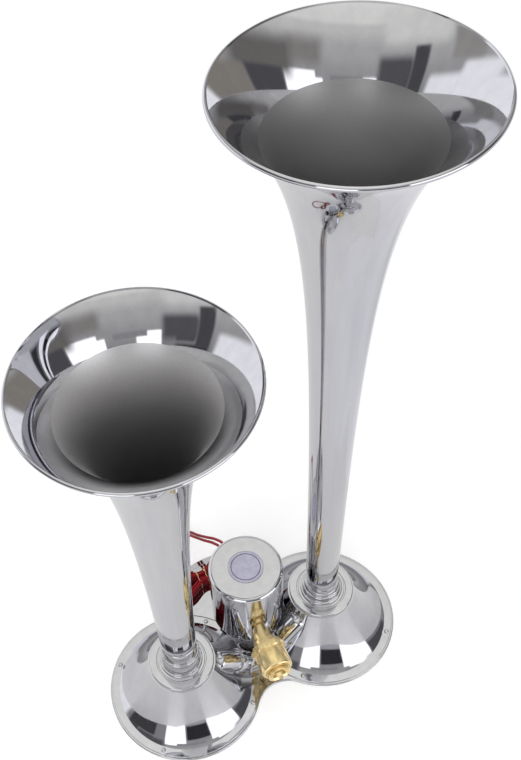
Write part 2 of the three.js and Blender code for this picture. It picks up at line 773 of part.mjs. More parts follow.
// The block that splits the air between the two ducts.
function manifoldBlock() {
  const body = cylinder(BODY_RADIUS + GAP, 0, CUP_TOP_Z, ROUND_SIDES).translate([VALVE_X, VALVE_Y, 0]);
  const shape = new THREE.Shape();
  const [left, right] = [-BLOCK_WIDTH / 2, BLOCK_WIDTH / 2];
  shape.moveTo(left, PLATE_THICKNESS);
  shape.lineTo(right, PLATE_THICKNESS);
  shape.lineTo(right, BLOCK_TOP_Z - BLOCK_EDGE);
  shape.absarc(right - BLOCK_EDGE, BLOCK_TOP_Z - BLOCK_EDGE, BLOCK_EDGE, 0, Math.PI / 2, false);
  shape.absarc(left + BLOCK_EDGE, BLOCK_TOP_Z - BLOCK_EDGE, BLOCK_EDGE, Math.PI / 2, Math.PI, false);
  const depth = BLOCK_REAR_Y - BLOCK_FRONT_Y;
  const bar = new THREE.ExtrudeGeometry(shape, {
    depth,
    curveSegments: BLOCK_EDGE_STEPS,
    bevelEnabled: false,
  });
  bar.rotateX(Math.PI / 2).translate(0, BLOCK_REAR_Y, 0);
  const pad = cylinder(PAD_RADIUS + GAP, 0, PAD_TOP_Z + GAP, BELL_SIDES).translate([0, REAR_LOBE_Y, 0]);
  const cuts = [body, housingSpaces(GAP), pad, outletBore(), ductBore(-1), ductBore(1)];
  return solid(bar).subtract(wasm.Manifold.union(cuts));
}

// A sloping duct from the block into a housing, with a round end beside the crown ring.
function airDuct(side) {
  const length = distance(DUCT_START, DUCT_END);
  const round = [];
  for (let i = 0; i <= DUCT_END_STEPS; i += 1) {
    const angle = (i / DUCT_END_STEPS) * (Math.PI / 2);
    round.push([Math.cos(angle) * DUCT_RADIUS, length + Math.sin(angle) * DUCT_END_ROUND]);
  }
  const outline = [[0, 0], [DUCT_RADIUS, 0], ...round];
  const tube = along(turned(outline, ROUND_SIDES), ductStart(side), ductEnd(side));
  const crown = cylinder(CROWN_RADIUS + GAP, 0, CUP_TOP_Z, BELL_SIDES);
  const cuts = [ductBore(side), blockSpace(GAP), housingSpaces(GAP), atHorn(crown, side)];
  return tube.subtract(wasm.Manifold.union(cuts));
}

// The ring nut round a duct near the block.
function ductGland(side) {
  const place = distance(DUCT_START, DUCT_END) * GLAND_PLACE_SHARE;
  const nut = ring(GLAND_RADIUS, DUCT_RADIUS + GAP, place, place + GLAND_LENGTH, ROUND_SIDES);
  const laid = along(nut, ductStart(side), ductEnd(side));
  return laid.subtract(housingSpaces(GAP)).subtract(blockSpace(GAP));
}

// Heights inside the valve, from the seat up
const CHAMBER_FLOOR_Z = BODY_TOP_Z - CHAMBER_DEPTH;
const SEAT_TOP_Z = CHAMBER_FLOOR_Z + SEAT_HEIGHT;
const VALVE_DISC_BOTTOM_Z = SEAT_TOP_Z + GAP;
const PLUNGER_BOTTOM_Z = VALVE_DISC_BOTTOM_Z + VALVE_DISC_THICKNESS;
const PLUNGER_TOP_Z = PLUNGER_BOTTOM_Z + PLUNGER_LENGTH;
const FIXED_CORE_BOTTOM_Z = PLUNGER_TOP_Z + PLUNGER_TRAVEL + GAP;
const COIL_BOTTOM_Z = BODY_TOP_Z + CORE_TUBE_FLANGE_THICKNESS;
const COIL_TOP_Z = COIL_BOTTOM_Z + COIL_HEIGHT;
const CUP_CEILING_Z = CUP_TOP_Z - CUP_WALL;

// Places along the fitting, as distances from the valve's axis
const SPIGOT_START = BODY_RADIUS - SPIGOT_LENGTH;
const NECK_START = BODY_RADIUS + GAP;
const HEX_START = NECK_END + SHOULDER_LENGTH;
const HEX_END = HEX_START + HEX_LENGTH;
const BARREL_END = HEX_END + BARREL_LENGTH;
const POCKET_FLOOR = BARREL_END - POCKET_DEPTH;
const SEAL_PLACE = POCKET_FLOOR + GAP + SEAL_WIRE_RADIUS;
const COLLET_START = SEAL_PLACE + SEAL_WIRE_RADIUS + GAP;
const COLLET_END = COLLET_START + COLLET_LENGTH;
const BUSH_START = COLLET_END + GAP;
const COLLAR_START = COLLET_END + COLLAR_TRAVEL + GAP;
const COLLAR_LIP_START = BARREL_END + COLLAR_TRAVEL + GAP;

// Lays a solid's own +Z axis along the fitting, out of the front of the valve.
function alongFitting(shape) {
  const from = [VALVE_X, VALVE_Y, FITTING_Z];
  const to = [VALVE_X - Math.sin(FITTING_YAW), VALVE_Y - Math.cos(FITTING_YAW), FITTING_Z];
  return along(shape, from, to);
}

// Lays a solid's own +Z axis along the leads' way out, straight behind the fitting.
function alongLeads(shape) {
  const from = [VALVE_X, VALVE_Y, GROMMET_Z];
  const to = [VALVE_X + Math.sin(FITTING_YAW), VALVE_Y + Math.cos(FITTING_YAW), GROMMET_Z];
  return along(shape, from, to);
}

function atValve(shape) {
  return shape.translate([VALVE_X, VALVE_Y, 0]);
}

// Valve body with its chamber, raised seat, and air ways in and out.
function valveBody() {
  const block = atValve(cylinder(BODY_RADIUS, PAD_TOP_Z, BODY_TOP_Z, ROUND_SIDES));
  const chamber = atValve(cylinder(CHAMBER_RADIUS, CHAMBER_FLOOR_Z, BODY_TOP_Z + OVERRUN, SMALL_SIDES));
  const seat = atValve(cylinder(SEAT_RADIUS, CHAMBER_FLOOR_Z - OVERRUN, SEAT_TOP_Z, SMALL_SIDES));
  const orifice = atValve(cylinder(ORIFICE_RADIUS, OUTLET_Z, SEAT_TOP_Z + OVERRUN, SMALL_SIDES));
  const inlet = cylinder(AIRWAY_RADIUS, SEAT_RADIUS + OVERRUN, BODY_RADIUS + OVERRUN, SMALL_SIDES);
  const thread = cylinder(SPIGOT_RADIUS + GAP, SPIGOT_START - GAP, BODY_RADIUS + OVERRUN, SMALL_SIDES);
  const ways = [orifice, alongFitting(inlet), alongFitting(thread), outletBore()];
  const hollowed = block.subtract(chamber).add(seat).subtract(wasm.Manifold.union(ways));
  return hollowed.subtract(housingSpaces(GAP));
}

// Guide tube closed at its top by the fixed core.
function coreTube() {
  const inside = CORE_TUBE_RADIUS - CORE_TUBE_WALL;
  const top = CUP_CEILING_Z - CORE_TUBE_TOP_DROP;
  return turned(
    [
      [inside, BODY_TOP_Z],
      [CORE_TUBE_FLANGE_RADIUS, BODY_TOP_Z],
      [CORE_TUBE_FLANGE_RADIUS, COIL_BOTTOM_Z],
      [CORE_TUBE_RADIUS, COIL_BOTTOM_Z],
      [CORE_TUBE_RADIUS, top],
      [0, top],
      [0, FIXED_CORE_BOTTOM_Z],
      [inside, FIXED_CORE_BOTTOM_Z],
    ],
    SMALL_SIDES,
  );
}

function coilBobbin() {
  const bore = CORE_TUBE_RADIUS + GAP;
  const barrel = bore + BOBBIN_BARREL_WALL;
  const lowerFlange = COIL_BOTTOM_Z + BOBBIN_FLANGE_THICKNESS;
  const upperFlange = COIL_TOP_Z - BOBBIN_FLANGE_THICKNESS;
  return turned(
    [
      [bore, COIL_BOTTOM_Z],
      [COIL_RADIUS, COIL_BOTTOM_Z],
      [COIL_RADIUS, lowerFlange],
      [barrel, lowerFlange],
      [barrel, upperFlange],
      [COIL_RADIUS, upperFlange],
      [COIL_RADIUS, COIL_TOP_Z],
      [bore, COIL_TOP_Z],
    ],
    SMALL_SIDES,
  );
}

function coilWinding() {
  const inner = CORE_TUBE_RADIUS + GAP + BOBBIN_BARREL_WALL + GAP;
  const bottom = COIL_BOTTOM_Z + BOBBIN_FLANGE_THICKNESS + GAP;
  const top = COIL_TOP_Z - BOBBIN_FLANGE_THICKNESS - GAP;
  return ring(COIL_RADIUS - WINDING_DEPTH, inner, bottom, top, SMALL_SIDES);
}

function coilNut() {
  const hexagon = cylinder(COIL_NUT_ACROSS_CORNERS / 2, COIL_TOP_Z, CUP_CEILING_Z, HEX_SIDES);
  const bore = cylinder(CORE_TUBE_RADIUS + GAP, COIL_TOP_Z - OVERRUN, CUP_CEILING_Z + OVERRUN, SMALL_SIDES);
  return hexagon.subtract(bore);
}

// Moving iron core, with a pocket in its top for the spring.
function plunger() {
  const radius = CORE_TUBE_RADIUS - CORE_TUBE_WALL - PLUNGER_FIT;
  return turned(
    [
      [0, PLUNGER_BOTTOM_Z],
      [radius, PLUNGER_BOTTOM_Z],
      [radius, PLUNGER_TOP_Z],
      [SPRING_POCKET_RADIUS, PLUNGER_TOP_Z],
      [SPRING_POCKET_RADIUS, PLUNGER_TOP_Z - SPRING_POCKET_DEPTH],
      [0, PLUNGER_TOP_Z - SPRING_POCKET_DEPTH],
    ],
    SMALL_SIDES,
  );
}

function springPoints() {
  const bottom = PLUNGER_TOP_Z - SPRING_POCKET_DEPTH + GAP + SPRING_WIRE_RADIUS;
  const top = FIXED_CORE_BOTTOM_Z - GAP - SPRING_WIRE_RADIUS;
  const steps = SPRING_CURLS * SPRING_STEPS_PER_CURL;
  return Array.from({ length: steps + 1 }, (_, i) => {
    const angle = (i / SPRING_STEPS_PER_CURL) * FULL_TURN;
    const height = bottom + ((top - bottom) * i) / steps;
    return new THREE.Vector3(Math.cos(angle) * SPRING_RADIUS, Math.sin(angle) * SPRING_RADIUS, height);
  });
}

// Chromed cup with a rounded top edge, notched for the fitting and bored for the grommet.
function solenoidCover() {
  const edge = [];
  for (let i = 0; i <= CUP_EDGE_STEPS; i += 1) {
    const angle = (i / CUP_EDGE_STEPS) * (Math.PI / 2);
    const radius = CUP_RADIUS - CUP_EDGE_RADIUS + Math.cos(angle) * CUP_EDGE_RADIUS;
    edge.push([radius, CUP_TOP_Z - CUP_EDGE_RADIUS + Math.sin(angle) * CUP_EDGE_RADIUS]);
  }
  const inside = CUP_RADIUS - CUP_WALL;
  const recess = BADGE_RADIUS + GAP;
  const cup = turned(
    [
      [inside, CUP_BOTTOM_Z],
      [CUP_RADIUS, CUP_BOTTOM_Z],
      ...edge,
      [recess, CUP_TOP_Z],
      [recess, CUP_TOP_Z - BADGE_RECESS],
      [0, CUP_TOP_Z - BADGE_RECESS],
      [0, CUP_CEILING_Z],
      [inside - CUP_EDGE_RADIUS / 2, CUP_CEILING_Z],
      [inside, CUP_CEILING_Z - CUP_EDGE_RADIUS / 2],
    ],
    BELL_SIDES,
  );
  const past = CUP_RADIUS + OVERRUN;
  const notch = cylinder(NECK_RADIUS + GAP, CHAMBER_RADIUS, past, SMALL_SIDES);
  const leadHole = cylinder(GROMMET_WAIST_RADIUS + GAP, CHAMBER_RADIUS, past, SMALL_SIDES);
  return atValve(cup).subtract(alongFitting(notch)).subtract(alongLeads(leadHole));
}

function coverBadge() {
  const bottom = CUP_TOP_Z - BADGE_RECESS;
  const top = bottom + BADGE_THICKNESS;
  return turned(
    [
      [0, bottom],
      [BADGE_RADIUS, bottom],
      [BADGE_RADIUS, top],
      [BADGE_LINE_RADIUS, top],
      [BADGE_LINE_RADIUS, top - BADGE_LINE_DEPTH],
      [BADGE_LINE_RADIUS - BADGE_LINE_WIDTH, top - BADGE_LINE_DEPTH],
      [BADGE_LINE_RADIUS - BADGE_LINE_WIDTH, top],
      [0, top],
    ],
    BELL_SIDES,
  );
}

// Brass body of the fitting: threaded spigot, neck, hexagon and barrel, with the hose socket in its mouth.
function inletFitting() {
  const barrel = turned(
    [
      [0, SPIGOT_START],
      [SPIGOT_RADIUS, SPIGOT_START],
      [SPIGOT_RADIUS, NECK_START],
      [NECK_RADIUS, NECK_START],
      [NECK_RADIUS, NECK_END],
      [SHOULDER_RADIUS, NECK_END],
      [SHOULDER_RADIUS, HEX_START],
      [BARREL_RADIUS, HEX_START],
      [BARREL_RADIUS, BARREL_END - BARREL_EDGE],
      [BARREL_RADIUS - BARREL_EDGE, BARREL_END],
      [0, BARREL_END],
    ],
    ROUND_SIDES,
  );
  const hexagon = cylinder(HEX_ACROSS_CORNERS / 2, HEX_START, HEX_END, HEX_SIDES);
  const airway = cylinder(AIRWAY_RADIUS, 0, BARREL_END, SMALL_SIDES);
  const socket = cylinder(HOSE_RADIUS + GAP, BARREL_END - SOCKET_DEPTH, BARREL_END, SMALL_SIDES);
  const pocket = cylinder(POCKET_RADIUS, POCKET_FLOOR, BARREL_END + OVERRUN, ROUND_SIDES);
  return barrel.add(hexagon).subtract(airway.add(socket).add(pocket));
}

// Rubber ring that seals on the hose.
function inletSeal() {
  const centre = POCKET_RADIUS - GAP - SEAL_WIRE_RADIUS;
  const outline = Array.from({ length: SEAL_WIRE_SIDES }, (_, i) => {
    const angle = (i / SEAL_WIRE_SIDES) * FULL_TURN;
    return [centre + Math.cos(angle) * SEAL_WIRE_RADIUS, SEAL_PLACE + Math.sin(angle) * SEAL_WIRE_RADIUS];
  });
  return turned(outline, SMALL_SIDES);
}

// Slotted ring whose sloping teeth grip the hose.
function collet() {
  const outer = POCKET_RADIUS - GAP;
  const grip = HOSE_RADIUS + GAP;
  const slot = box(-outer, outer, -COLLET_SLOT_WIDTH / 2, COLLET_SLOT_WIDTH / 2, 0, COLLET_SLOT_DEPTH);
  const slots = Array.from({ length: COLLET_TEETH / 2 }, (_, i) =>
    slot.rotate([0, 0, (i * 360) / COLLET_TEETH]).translate([0, 0, COLLET_START - COLLET_WALL]),
  );
  const cone = turned(
    [
      [grip, COLLET_START],
      [outer, COLLET_START],
      [outer, COLLET_END],
      [outer - COLLET_WALL, COLLET_END],
      [grip, COLLET_START + COLLET_WALL],
    ],
    ROUND_SIDES,
  );
  return cone.subtract(wasm.Manifold.union(slots));
}

// Bush pressed into the barrel's mouth: it keeps the collet in and guides the collar.
function mouthBush() {
  return ring(POCKET_RADIUS - GAP, COLLAR_SLEEVE_RADIUS + GAP, BUSH_START, BARREL_END, ROUND_SIDES);
}

// Collar that opens the collet when it is pressed in.
function releaseCollar() {
  const end = COLLAR_LIP_START + COLLAR_LIP_LENGTH;
  const bore = HOSE_RADIUS + GAP;
  return turned(
    [
      [bore, COLLAR_START],
      [COLLAR_SLEEVE_RADIUS, COLLAR_START],
      [COLLAR_SLEEVE_RADIUS, COLLAR_LIP_START],
      [COLLAR_LIP_RADIUS, COLLAR_LIP_START],
      [COLLAR_LIP_RADIUS, end],
      [COLLAR_SLEEVE_RADIUS, end],
      [bore, COLLAR_LIP_START],
    ],
    ROUND_SIDES,
  );
}

// Rubber grommet in the cup's rear wall, with a short tail that holds both leads.
function leadGrommet() {
  const wallInside = CUP_RADIUS - CUP_WALL - GROMMET_CURVE_CLEARANCE;
  const lipOutside = CUP_RADIUS + GAP;
  return turned(
    [
      [0, wallInside - GROMMET_LIP],
      [GROMMET_RADIUS, wallInside - GROMMET_LIP],
      [GROMMET_RADIUS, wallInside],
      [GROMMET_WAIST_RADIUS, wallInside],
      [GROMMET_WAIST_RADIUS, lipOutside],
      [GROMMET_RADIUS, lipOutside],
      [GROMMET_RADIUS, lipOutside + GROMMET_LIP],
      [GROMMET_TAIL_RADIUS, lipOutside + GROMMET_LIP],
      [GROMMET_TAIL_RADIUS, lipOutside + GROMMET_LIP + GROMMET_TAIL],
      [0, lipOutside + GROMMET_LIP + GROMMET_TAIL],
    ],
    SMALL_SIDES,
  );
}

// The stretch of a lead from the grommet to its hank.
function leadStretch(route) {
  const path = new THREE.CatmullRomCurve3(route.map((point) => new THREE.Vector3(...point)));
  const section = new THREE.Shape();
  for (let side = 0; side < LEAD_SIDES; side += 1) {
    const angle = (side / LEAD_SIDES) * FULL_TURN;
    const [x, y] = [Math.cos(angle) * LEAD_RADIUS, Math.sin(angle) * LEAD_RADIUS];
    if (side === 0) section.moveTo(x, y);
    else section.lineTo(x, y);
  }
  const tube = new THREE.ExtrudeGeometry(section, {
    steps: LEAD_STEPS,
    extrudePath: path,
    bevelEnabled: false,
  });
  return solid(tube);
}

// Middle line of one hank: it winds in on its lower layer, climbs along a run and winds out on top.
function hankPoints(bottomZ) {
  const [startX, startY] = HANK_START;
  const centreY = startY - HANK_OUTER_BEND;
  const turnLoop = HANK_LOOPS / 2;
  const climbEnd = turnLoop + 1 / 4;
  const innerBend = HANK_OUTER_BEND - HANK_PITCH * turnLoop;
  const steps = HANK_LOOPS * HANK_STEPS_PER_LOOP + HANK_TAIL_STEPS;
  return Array.from({ length: steps + 1 }, (_, i) => {
    const loop = i / HANK_STEPS_PER_LOOP;
    const inward = HANK_OUTER_BEND - HANK_PITCH * loop;
    const outward = innerBend + HANK_PITCH * Math.max(0, loop - climbEnd);
    const bend = loop < turnLoop ? inward : outward;
    const climb = THREE.MathUtils.clamp((loop - turnLoop) / (climbEnd - turnLoop), 0, 1);
    const quarter = (loop % 1) * 4;
    const within = quarter % 1;
    const waist = HANK_WAIST * Math.sin(Math.PI * within) ** 2;
    const point = new THREE.Vector3(startX, centreY, bottomZ + climb * HANK_PITCH);
    if (quarter < 1) point.add(new THREE.Vector3(HANK_RUN_LENGTH * within, bend - waist, 0));
    else if (quarter < 2) {
      const angle = Math.PI / 2 - Math.PI * within;
      point.add(new THREE.Vector3(HANK_RUN_LENGTH + Math.cos(angle) * bend, Math.sin(angle) * bend, 0));
    } else if (quarter < 3) point.add(new THREE.Vector3(HANK_RUN_LENGTH * (1 - within), waist - bend, 0));
    else {
      const angle = -Math.PI / 2 - Math.PI * within;
      point.add(new THREE.Vector3(Math.cos(angle) * bend, Math.sin(angle) * bend, 0));
    }
    return point;
  });
}

// A wound wire, which prints its least gap to itself.
function wound(name, points, radius, sides, stepsPerTurn) {
  const gap = leastGap(points, radius, stepsPerTurn / 2);
  console.log(`${name}: least gap to itself ${gap.toFixed(2)} mm`);
  return wire(points, radius, sides);
}

// One horn, in a group that stands on its own axis.
function horn(side, name, nutHeight, bellHeight, footRadius, flareLength, power) {
  const group = new THREE.Group();
  group.position.x = (side * HORN_SPACING) / 2;
  const gasketInner = DIAPHRAGM_RADIUS - GASKET_WIDTH;
  const ringInner = DIAPHRAGM_RADIUS - CLAMP_RING_WIDTH;
  const gasket = ring(DIAPHRAGM_RADIUS, gasketInner, DIAPHRAGM_TOP_Z, LEDGE_BOTTOM_Z, ROUND_SIDES);
  const clamp = ring(DIAPHRAGM_RADIUS, ringInner, PLATE_THICKNESS, DIAPHRAGM_BOTTOM_Z, ROUND_SIDES);
  const disc = cylinder(DIAPHRAGM_RADIUS, DIAPHRAGM_BOTTOM_Z, DIAPHRAGM_TOP_Z, ROUND_SIDES);
  const footZ = CROWN_TOP_Z + nutHeight;
  const walls = trumpetWalls(footZ, FLANGE_TOP_Z + bellHeight, footRadius, flareLength, power);
  group.add(
    part(`${name}_housing`, housing(side), chrome),
    part(`${name}_crown_ring`, crownRing(), chrome),
    part(`${name}_trumpet_nut`, trumpetNut(nutHeight, footRadius), chrome),
    part(`${name}_trumpet`, trumpetTube(walls), chrome),
    part(`${name}_bell`, trumpetBell(walls), chrome),
    part(`${name}_nozzle`, nozzle(), castMetal),
    part(`${name}_diaphragm`, disc, steel),
    part(`${name}_gasket`, gasket, rubber),
    part(`${name}_clamp_ring`, clamp, castMetal),
  );
  screwPlaces().forEach(([x, y], i) => {
    const mesh = part(`${name}_flange_screw_${i + 1}`, screw(), chrome);
    mesh.position.set(x, y, 0);
    group.add(mesh);
  });
  return group;
}

// Base plate, pad and the air ways between the valve and the housings.
function baseAndDucts() {
  const group = new THREE.Group();
  group.add(
    part("base_plate", basePlate(), chrome),
    part("valve_mount_pad", valvePad(), chrome),
    part("manifold_block", manifoldBlock(), chrome),
    part("left_air_duct", airDuct(-1), chrome),
    part("right_air_duct", airDuct(1), chrome),
    part("left_duct_gland", ductGland(-1), chrome),
    part("right_duct_gland", ductGland(1), chrome),
  );
  return group;
}

// Solenoid valve under its cup.
function solenoidValve() {
  const group = new THREE.Group();
  const axis = new THREE.Group();
  axis.position.set(VALVE_X, VALVE_Y, 0);
  const discShape = cylinder(VALVE_DISC_RADIUS, VALVE_DISC_BOTTOM_Z, PLUNGER_BOTTOM_Z, SMALL_SIDES);
  const spring = wound(
    "plunger_spring",
    springPoints(),
    SPRING_WIRE_RADIUS,
    SPRING_WIRE_SIDES,
    SPRING_STEPS_PER_CURL,
  );
  axis.add(
    part("core_tube", coreTube(), steel),
    part("coil_bobbin", coilBobbin(), rubber),
    part("coil_winding", coilWinding(), copper),
    part("coil_nut", coilNut(), steel),
    part("plunger", plunger(), steel),
    part("valve_disc", discShape, rubber),
    part("plunger_spring", spring, steel),
    part("cover_badge", coverBadge(), badgePaint),
  );
  group.add(
    part("valve_body", valveBody(), castMetal),
    part("solenoid_cover", solenoidCover(), chrome),
    part("lead_grommet", alongLeads(leadGrommet()), rubber),
    axis,
  );
  return group;
}

function hoseInlet() {
  const group = new THREE.Group();
  group.add(
    part("inlet_fitting", alongFitting(inletFitting()), brass),
    part("inlet_seal", alongFitting(inletSeal()), rubber),
    part("collet", alongFitting(collet()), brass),
    part("mouth_bush", alongFitting(mouthBush()), brass),
    part("release_collar", alongFitting(releaseCollar()), brass),
  );
  return group;
}

function redLeads() {
  const group = new THREE.Group();
  [RED_LEAD_1_ROUTE, RED_LEAD_2_ROUTE].forEach((route, i) => {
    const bottomZ = PAD_TOP_Z + LEAD_RADIUS + HANK_REST + i * 2 * HANK_PITCH;
    const name = `red_lead_${i + 1}_hank`;
    const points = hankPoints(bottomZ);
    const hank = wound(name, points, LEAD_RADIUS, HANK_WIRE_SIDES, HANK_STEPS_PER_LOOP);
    group.add(part(`red_lead_${i + 1}`, leadStretch(route), redPlastic), part(name, hank, redPlastic));
  });
  return group;
}

const airHorn = new THREE.Group();
airHorn.add(
  baseAndDucts(),
  horn(
    -1,
    "left",
    LEFT_NUT_HEIGHT,
    LEFT_BELL_HEIGHT,
    LEFT_FOOT_RADIUS,
    LEFT_FLARE_LENGTH,
    LEFT_FLARE_POWER,
  ),
  horn(
    1,
    "right",
    RIGHT_NUT_HEIGHT,
    RIGHT_BELL_HEIGHT,
    RIGHT_FOOT_RADIUS,
    RIGHT_FLARE_LENGTH,
    RIGHT_FLARE_POWER,
  ),
  solenoidValve(),
  hoseInlet(),
  redLeads(),
);

export default airHorn;
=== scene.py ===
# Looks of the upright air horn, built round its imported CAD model.
# Sizes are in millimetres, as in the CAD source, and become metres where a mesh or curve is made. The places
# of the camera and the lamp, and how deep a bump goes, are in metres.
import json
import math

import bmesh
import bpy
from mathutils import Matrix, Vector

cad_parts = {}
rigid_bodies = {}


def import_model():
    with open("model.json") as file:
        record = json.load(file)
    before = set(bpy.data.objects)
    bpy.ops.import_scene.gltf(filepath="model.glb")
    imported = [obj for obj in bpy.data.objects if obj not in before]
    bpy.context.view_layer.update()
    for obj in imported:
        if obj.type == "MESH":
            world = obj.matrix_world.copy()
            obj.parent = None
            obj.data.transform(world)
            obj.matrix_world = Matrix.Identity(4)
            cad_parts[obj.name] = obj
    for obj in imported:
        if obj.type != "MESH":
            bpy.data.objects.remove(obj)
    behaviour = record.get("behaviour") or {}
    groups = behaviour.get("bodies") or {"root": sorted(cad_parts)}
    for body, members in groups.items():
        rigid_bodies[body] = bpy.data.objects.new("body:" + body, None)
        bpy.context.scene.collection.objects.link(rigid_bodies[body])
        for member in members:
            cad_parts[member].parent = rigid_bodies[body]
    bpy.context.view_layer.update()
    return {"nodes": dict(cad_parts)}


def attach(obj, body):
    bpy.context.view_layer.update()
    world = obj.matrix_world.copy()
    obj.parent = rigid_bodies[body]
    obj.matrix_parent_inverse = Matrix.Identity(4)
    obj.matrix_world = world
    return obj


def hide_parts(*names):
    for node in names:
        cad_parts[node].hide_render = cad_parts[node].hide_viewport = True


MM = 0.001
WHITE = (1, 1, 1, 1)

# The photograph's frame and the camera that took it
IMAGE_WIDTH = 521
IMAGE_HEIGHT = 760
FOCAL_PIXELS = 1034.43
PRINCIPAL_X = 170
PRINCIPAL_Y = 390
SENSOR_WIDTH = 36
CAMERA_PLACE = (-0.18288, -0.35512, 0.89788)
CAMERA_RIGHT = (0.890467, -0.447760, -0.081111)
CAMERA_DOWN = (-0.397994, -0.679932, -0.615868)
CAMERA_AHEAD = (0.220611, 0.580692, -0.783663)

# How finely round pieces are cut
BELL_SIDES = 160
ROUND_SIDES = 96
SMALL_SIDES = 48
FILLET_STEPS = 5
SHARP_ANGLE = math.radians(32)
BEVEL_STEPS = 3
WIRE_BEVEL_STEPS = 5
NEAR_ZERO = 1e-6

# Small fillets that many edges share
FINE_EDGE = 0.2
SMALL_EDGE = 0.3
SOFT_EDGE = 0.4

# Base plate and its pad
HORN_SPACING = 140
LOBE_RADIUS = 68
REAR_LOBE_Y = 37
PLATE_THICKNESS = 2.6
PLATE_EDGE = 0.9
FRONT_HOLLOW_RADIUS = 28
PLATE_ARC_STEPS = 72
PAD_RADIUS = 62
PAD_TOP_Z = 4.2
PAD_EDGE = 0.5
PAD_CUT_GAP = 0.3
PAD_CUT_HEIGHT = 20

# Housings and crown rings
FLANGE_RADIUS = 66.3
FLANGE_TOP_Z = 4
FLANGE_EDGE = 0.5
HOUSING_FOOT_RADIUS = 59.5
HOUSING_TOP_RADIUS = 29.3
HOUSING_TOP_Z = 55
HOUSING_WALL = 3
OUTLINE_STEPS = 56
# Shares of the reach and the height at the outline curve's two handles
FOOT_HANDLE_SHARES = (0.425, 0.2645)
CROWN_HANDLE_SHARES = (0.034, 0.947)
CROWN_RADIUS = 28.2
CROWN_TOP_Z = 58
CROWN_EDGE = 1
CROWN_GROOVE_RADIUS = 21.6
CROWN_GROOVE_WIDTH = 1.4
CROWN_GROOVE_DEPTH = 1
CROWN_GROOVE_EDGE = 0.25
CROWN_BORE_RADIUS = 15.3

# Trumpet nuts
NUT_FLANGE_RADIUS = 18.4
NUT_FLANGE_TOP_Z = 61
NUT_LOWER_RADIUS = 16.6
NUT_UPPER_RADIUS = 15
NUT_STEP_SHARE = 0.54
NUT_BORE_RADIUS = 8
NUT_SPIGOT_HEIGHT = 9
NUT_EDGE = 0.9
NUT_CREASE = 0.5
LEFT_NUT_TOP_Z = 94
RIGHT_NUT_TOP_Z = 72

# Trumpets
BELL_RADIUS = 76
TRUMPET_WALL = 1
LEFT_FOOT_RADIUS = 14.9
RIGHT_FOOT_RADIUS = 13.7
FOOT_FIT = 0.3
# Points of the foot's rounded edge, as distances in from its side and up from its end
FOOT_EDGE = [(0.6, 0), (0.15, 0.2), (0, 0.7)]
RIM_ROLL_RADIUS = 1.6
RIM_ROLL_STEPS = 12
LEFT_BELL_Z = 440
RIGHT_BELL_Z = 585
# Each flare: the length that sets how fast it opens, and the power that it opens by
LEFT_FLARE = (66, 1.3)
RIGHT_FLARE = (102, 1.97)
FLARE_STEPS = 150
FLARE_CROWDING = 2.2
LEFT_SATIN_DEPTH = 25
RIGHT_SATIN_DEPTH = 30
SATIN_FADE = 45
# Painted shade in each bell's throat, set per horn: how light the satin is at its edge, and from SATIN_FADE
# further down
LEFT_SATIN_PAINTED_SHADES = (0.84, 0.64)
RIGHT_SATIN_PAINTED_SHADES = (0.46, 0.6)

# Flange screws
SCREW_CIRCLE_RADIUS = 62.6
SCREW_HEAD_RADIUS = 2.1
SCREW_HEAD_HEIGHT = 1.3
SCREW_SHANK_RADIUS = 1.2
SCREW_DOME_STEPS = 7
SCREW_DOME_POWER = 0.7
SCREWS_PER_HOUSING = 4

# Valve, cup and badge
VALVE_X = 7
VALVE_Y = 21.5
BODY_RADIUS = 21
BODY_TOP_Z = 62
BODY_EDGE = 0.8
CUP_RADIUS = 31.7
CUP_TOP_Z = 117
CUP_BOTTOM_Z = 42
CUP_WALL = 1.4
CUP_EDGE_RADIUS = 3.5
CUP_CEILING_FILLET = 1.5
CUP_FILLET_STEPS = 10
BADGE_RADIUS = 14.8
BADGE_GAP = 0.3
BADGE_EDGE_WIDTH = 0.25
BADGE_EDGE_HEIGHT = 0.2
BADGE_TOP_Z = 117.4
BADGE_BOTTOM_Z = 116.4
BADGE_LINE_RADIUS = 12.7
BADGE_LINE_WIDTH = 0.7

# Brass fitting, as distances from the valve's axis
FITTING_YAW = math.radians(6.5)
FITTING_Z = 48
SPIGOT_RADIUS = 6
SPIGOT_START = 14
NECK_START = 21.3
NECK_RADIUS = 8
NECK_END = 38.6
SHOULDER_RADIUS = 10.5
HEX_START = 43.4
HEX_END = 50.2
HEX_ACROSS_CORNERS = 31
HEX_CHAMFER = math.radians(30)
HEX_POINTS = 120
HEX_OVERLAP = 0.5
BARREL_RADIUS = 14
BARREL_END = 67.4
BARREL_EDGE = 2
BARREL_GROOVE_START = 50.8
BARREL_GROOVE_DEPTH = 0.7
BARREL_GROOVE_WIDTH = 1.3
POCKET_RADIUS = 10.8
POCKET_FLOOR = 51.4
POCKET_FIT = 0.3
SOCKET_RADIUS = 6.65
SOCKET_FLOOR = 41.4
AIRWAY_RADIUS = 4.5
COLLET_START = 55.6
COLLET_END = 61.6
COLLET_TEETH = 8
TOOTH_START = 0.08
TOOTH_SHARE = 0.84
TOOTH_STEPS = 9
TOOTH_TIP_WIDTH = 0.5
TOOTH_THICKNESS = 1.6
BUSH_START = 61.9
BUSH_BORE_RADIUS = 8.9
COLLAR_START = 63.9
COLLAR_LIP_START = 69.7
COLLAR_END = 71.3
COLLAR_SLEEVE_RADIUS = 8.6
COLLAR_LIP_RADIUS = 10.4
COLLAR_MOUTH_RADIUS = 9.6
COLLAR_THROAT_RADIUS = 8.1
COLLAR_THROAT_END = 66.6
COLLAR_LIP_EDGE = 0.5
COLLAR_MOUTH_FILLET = 1.6
COLLAR_THROAT_FILLET = 0.8

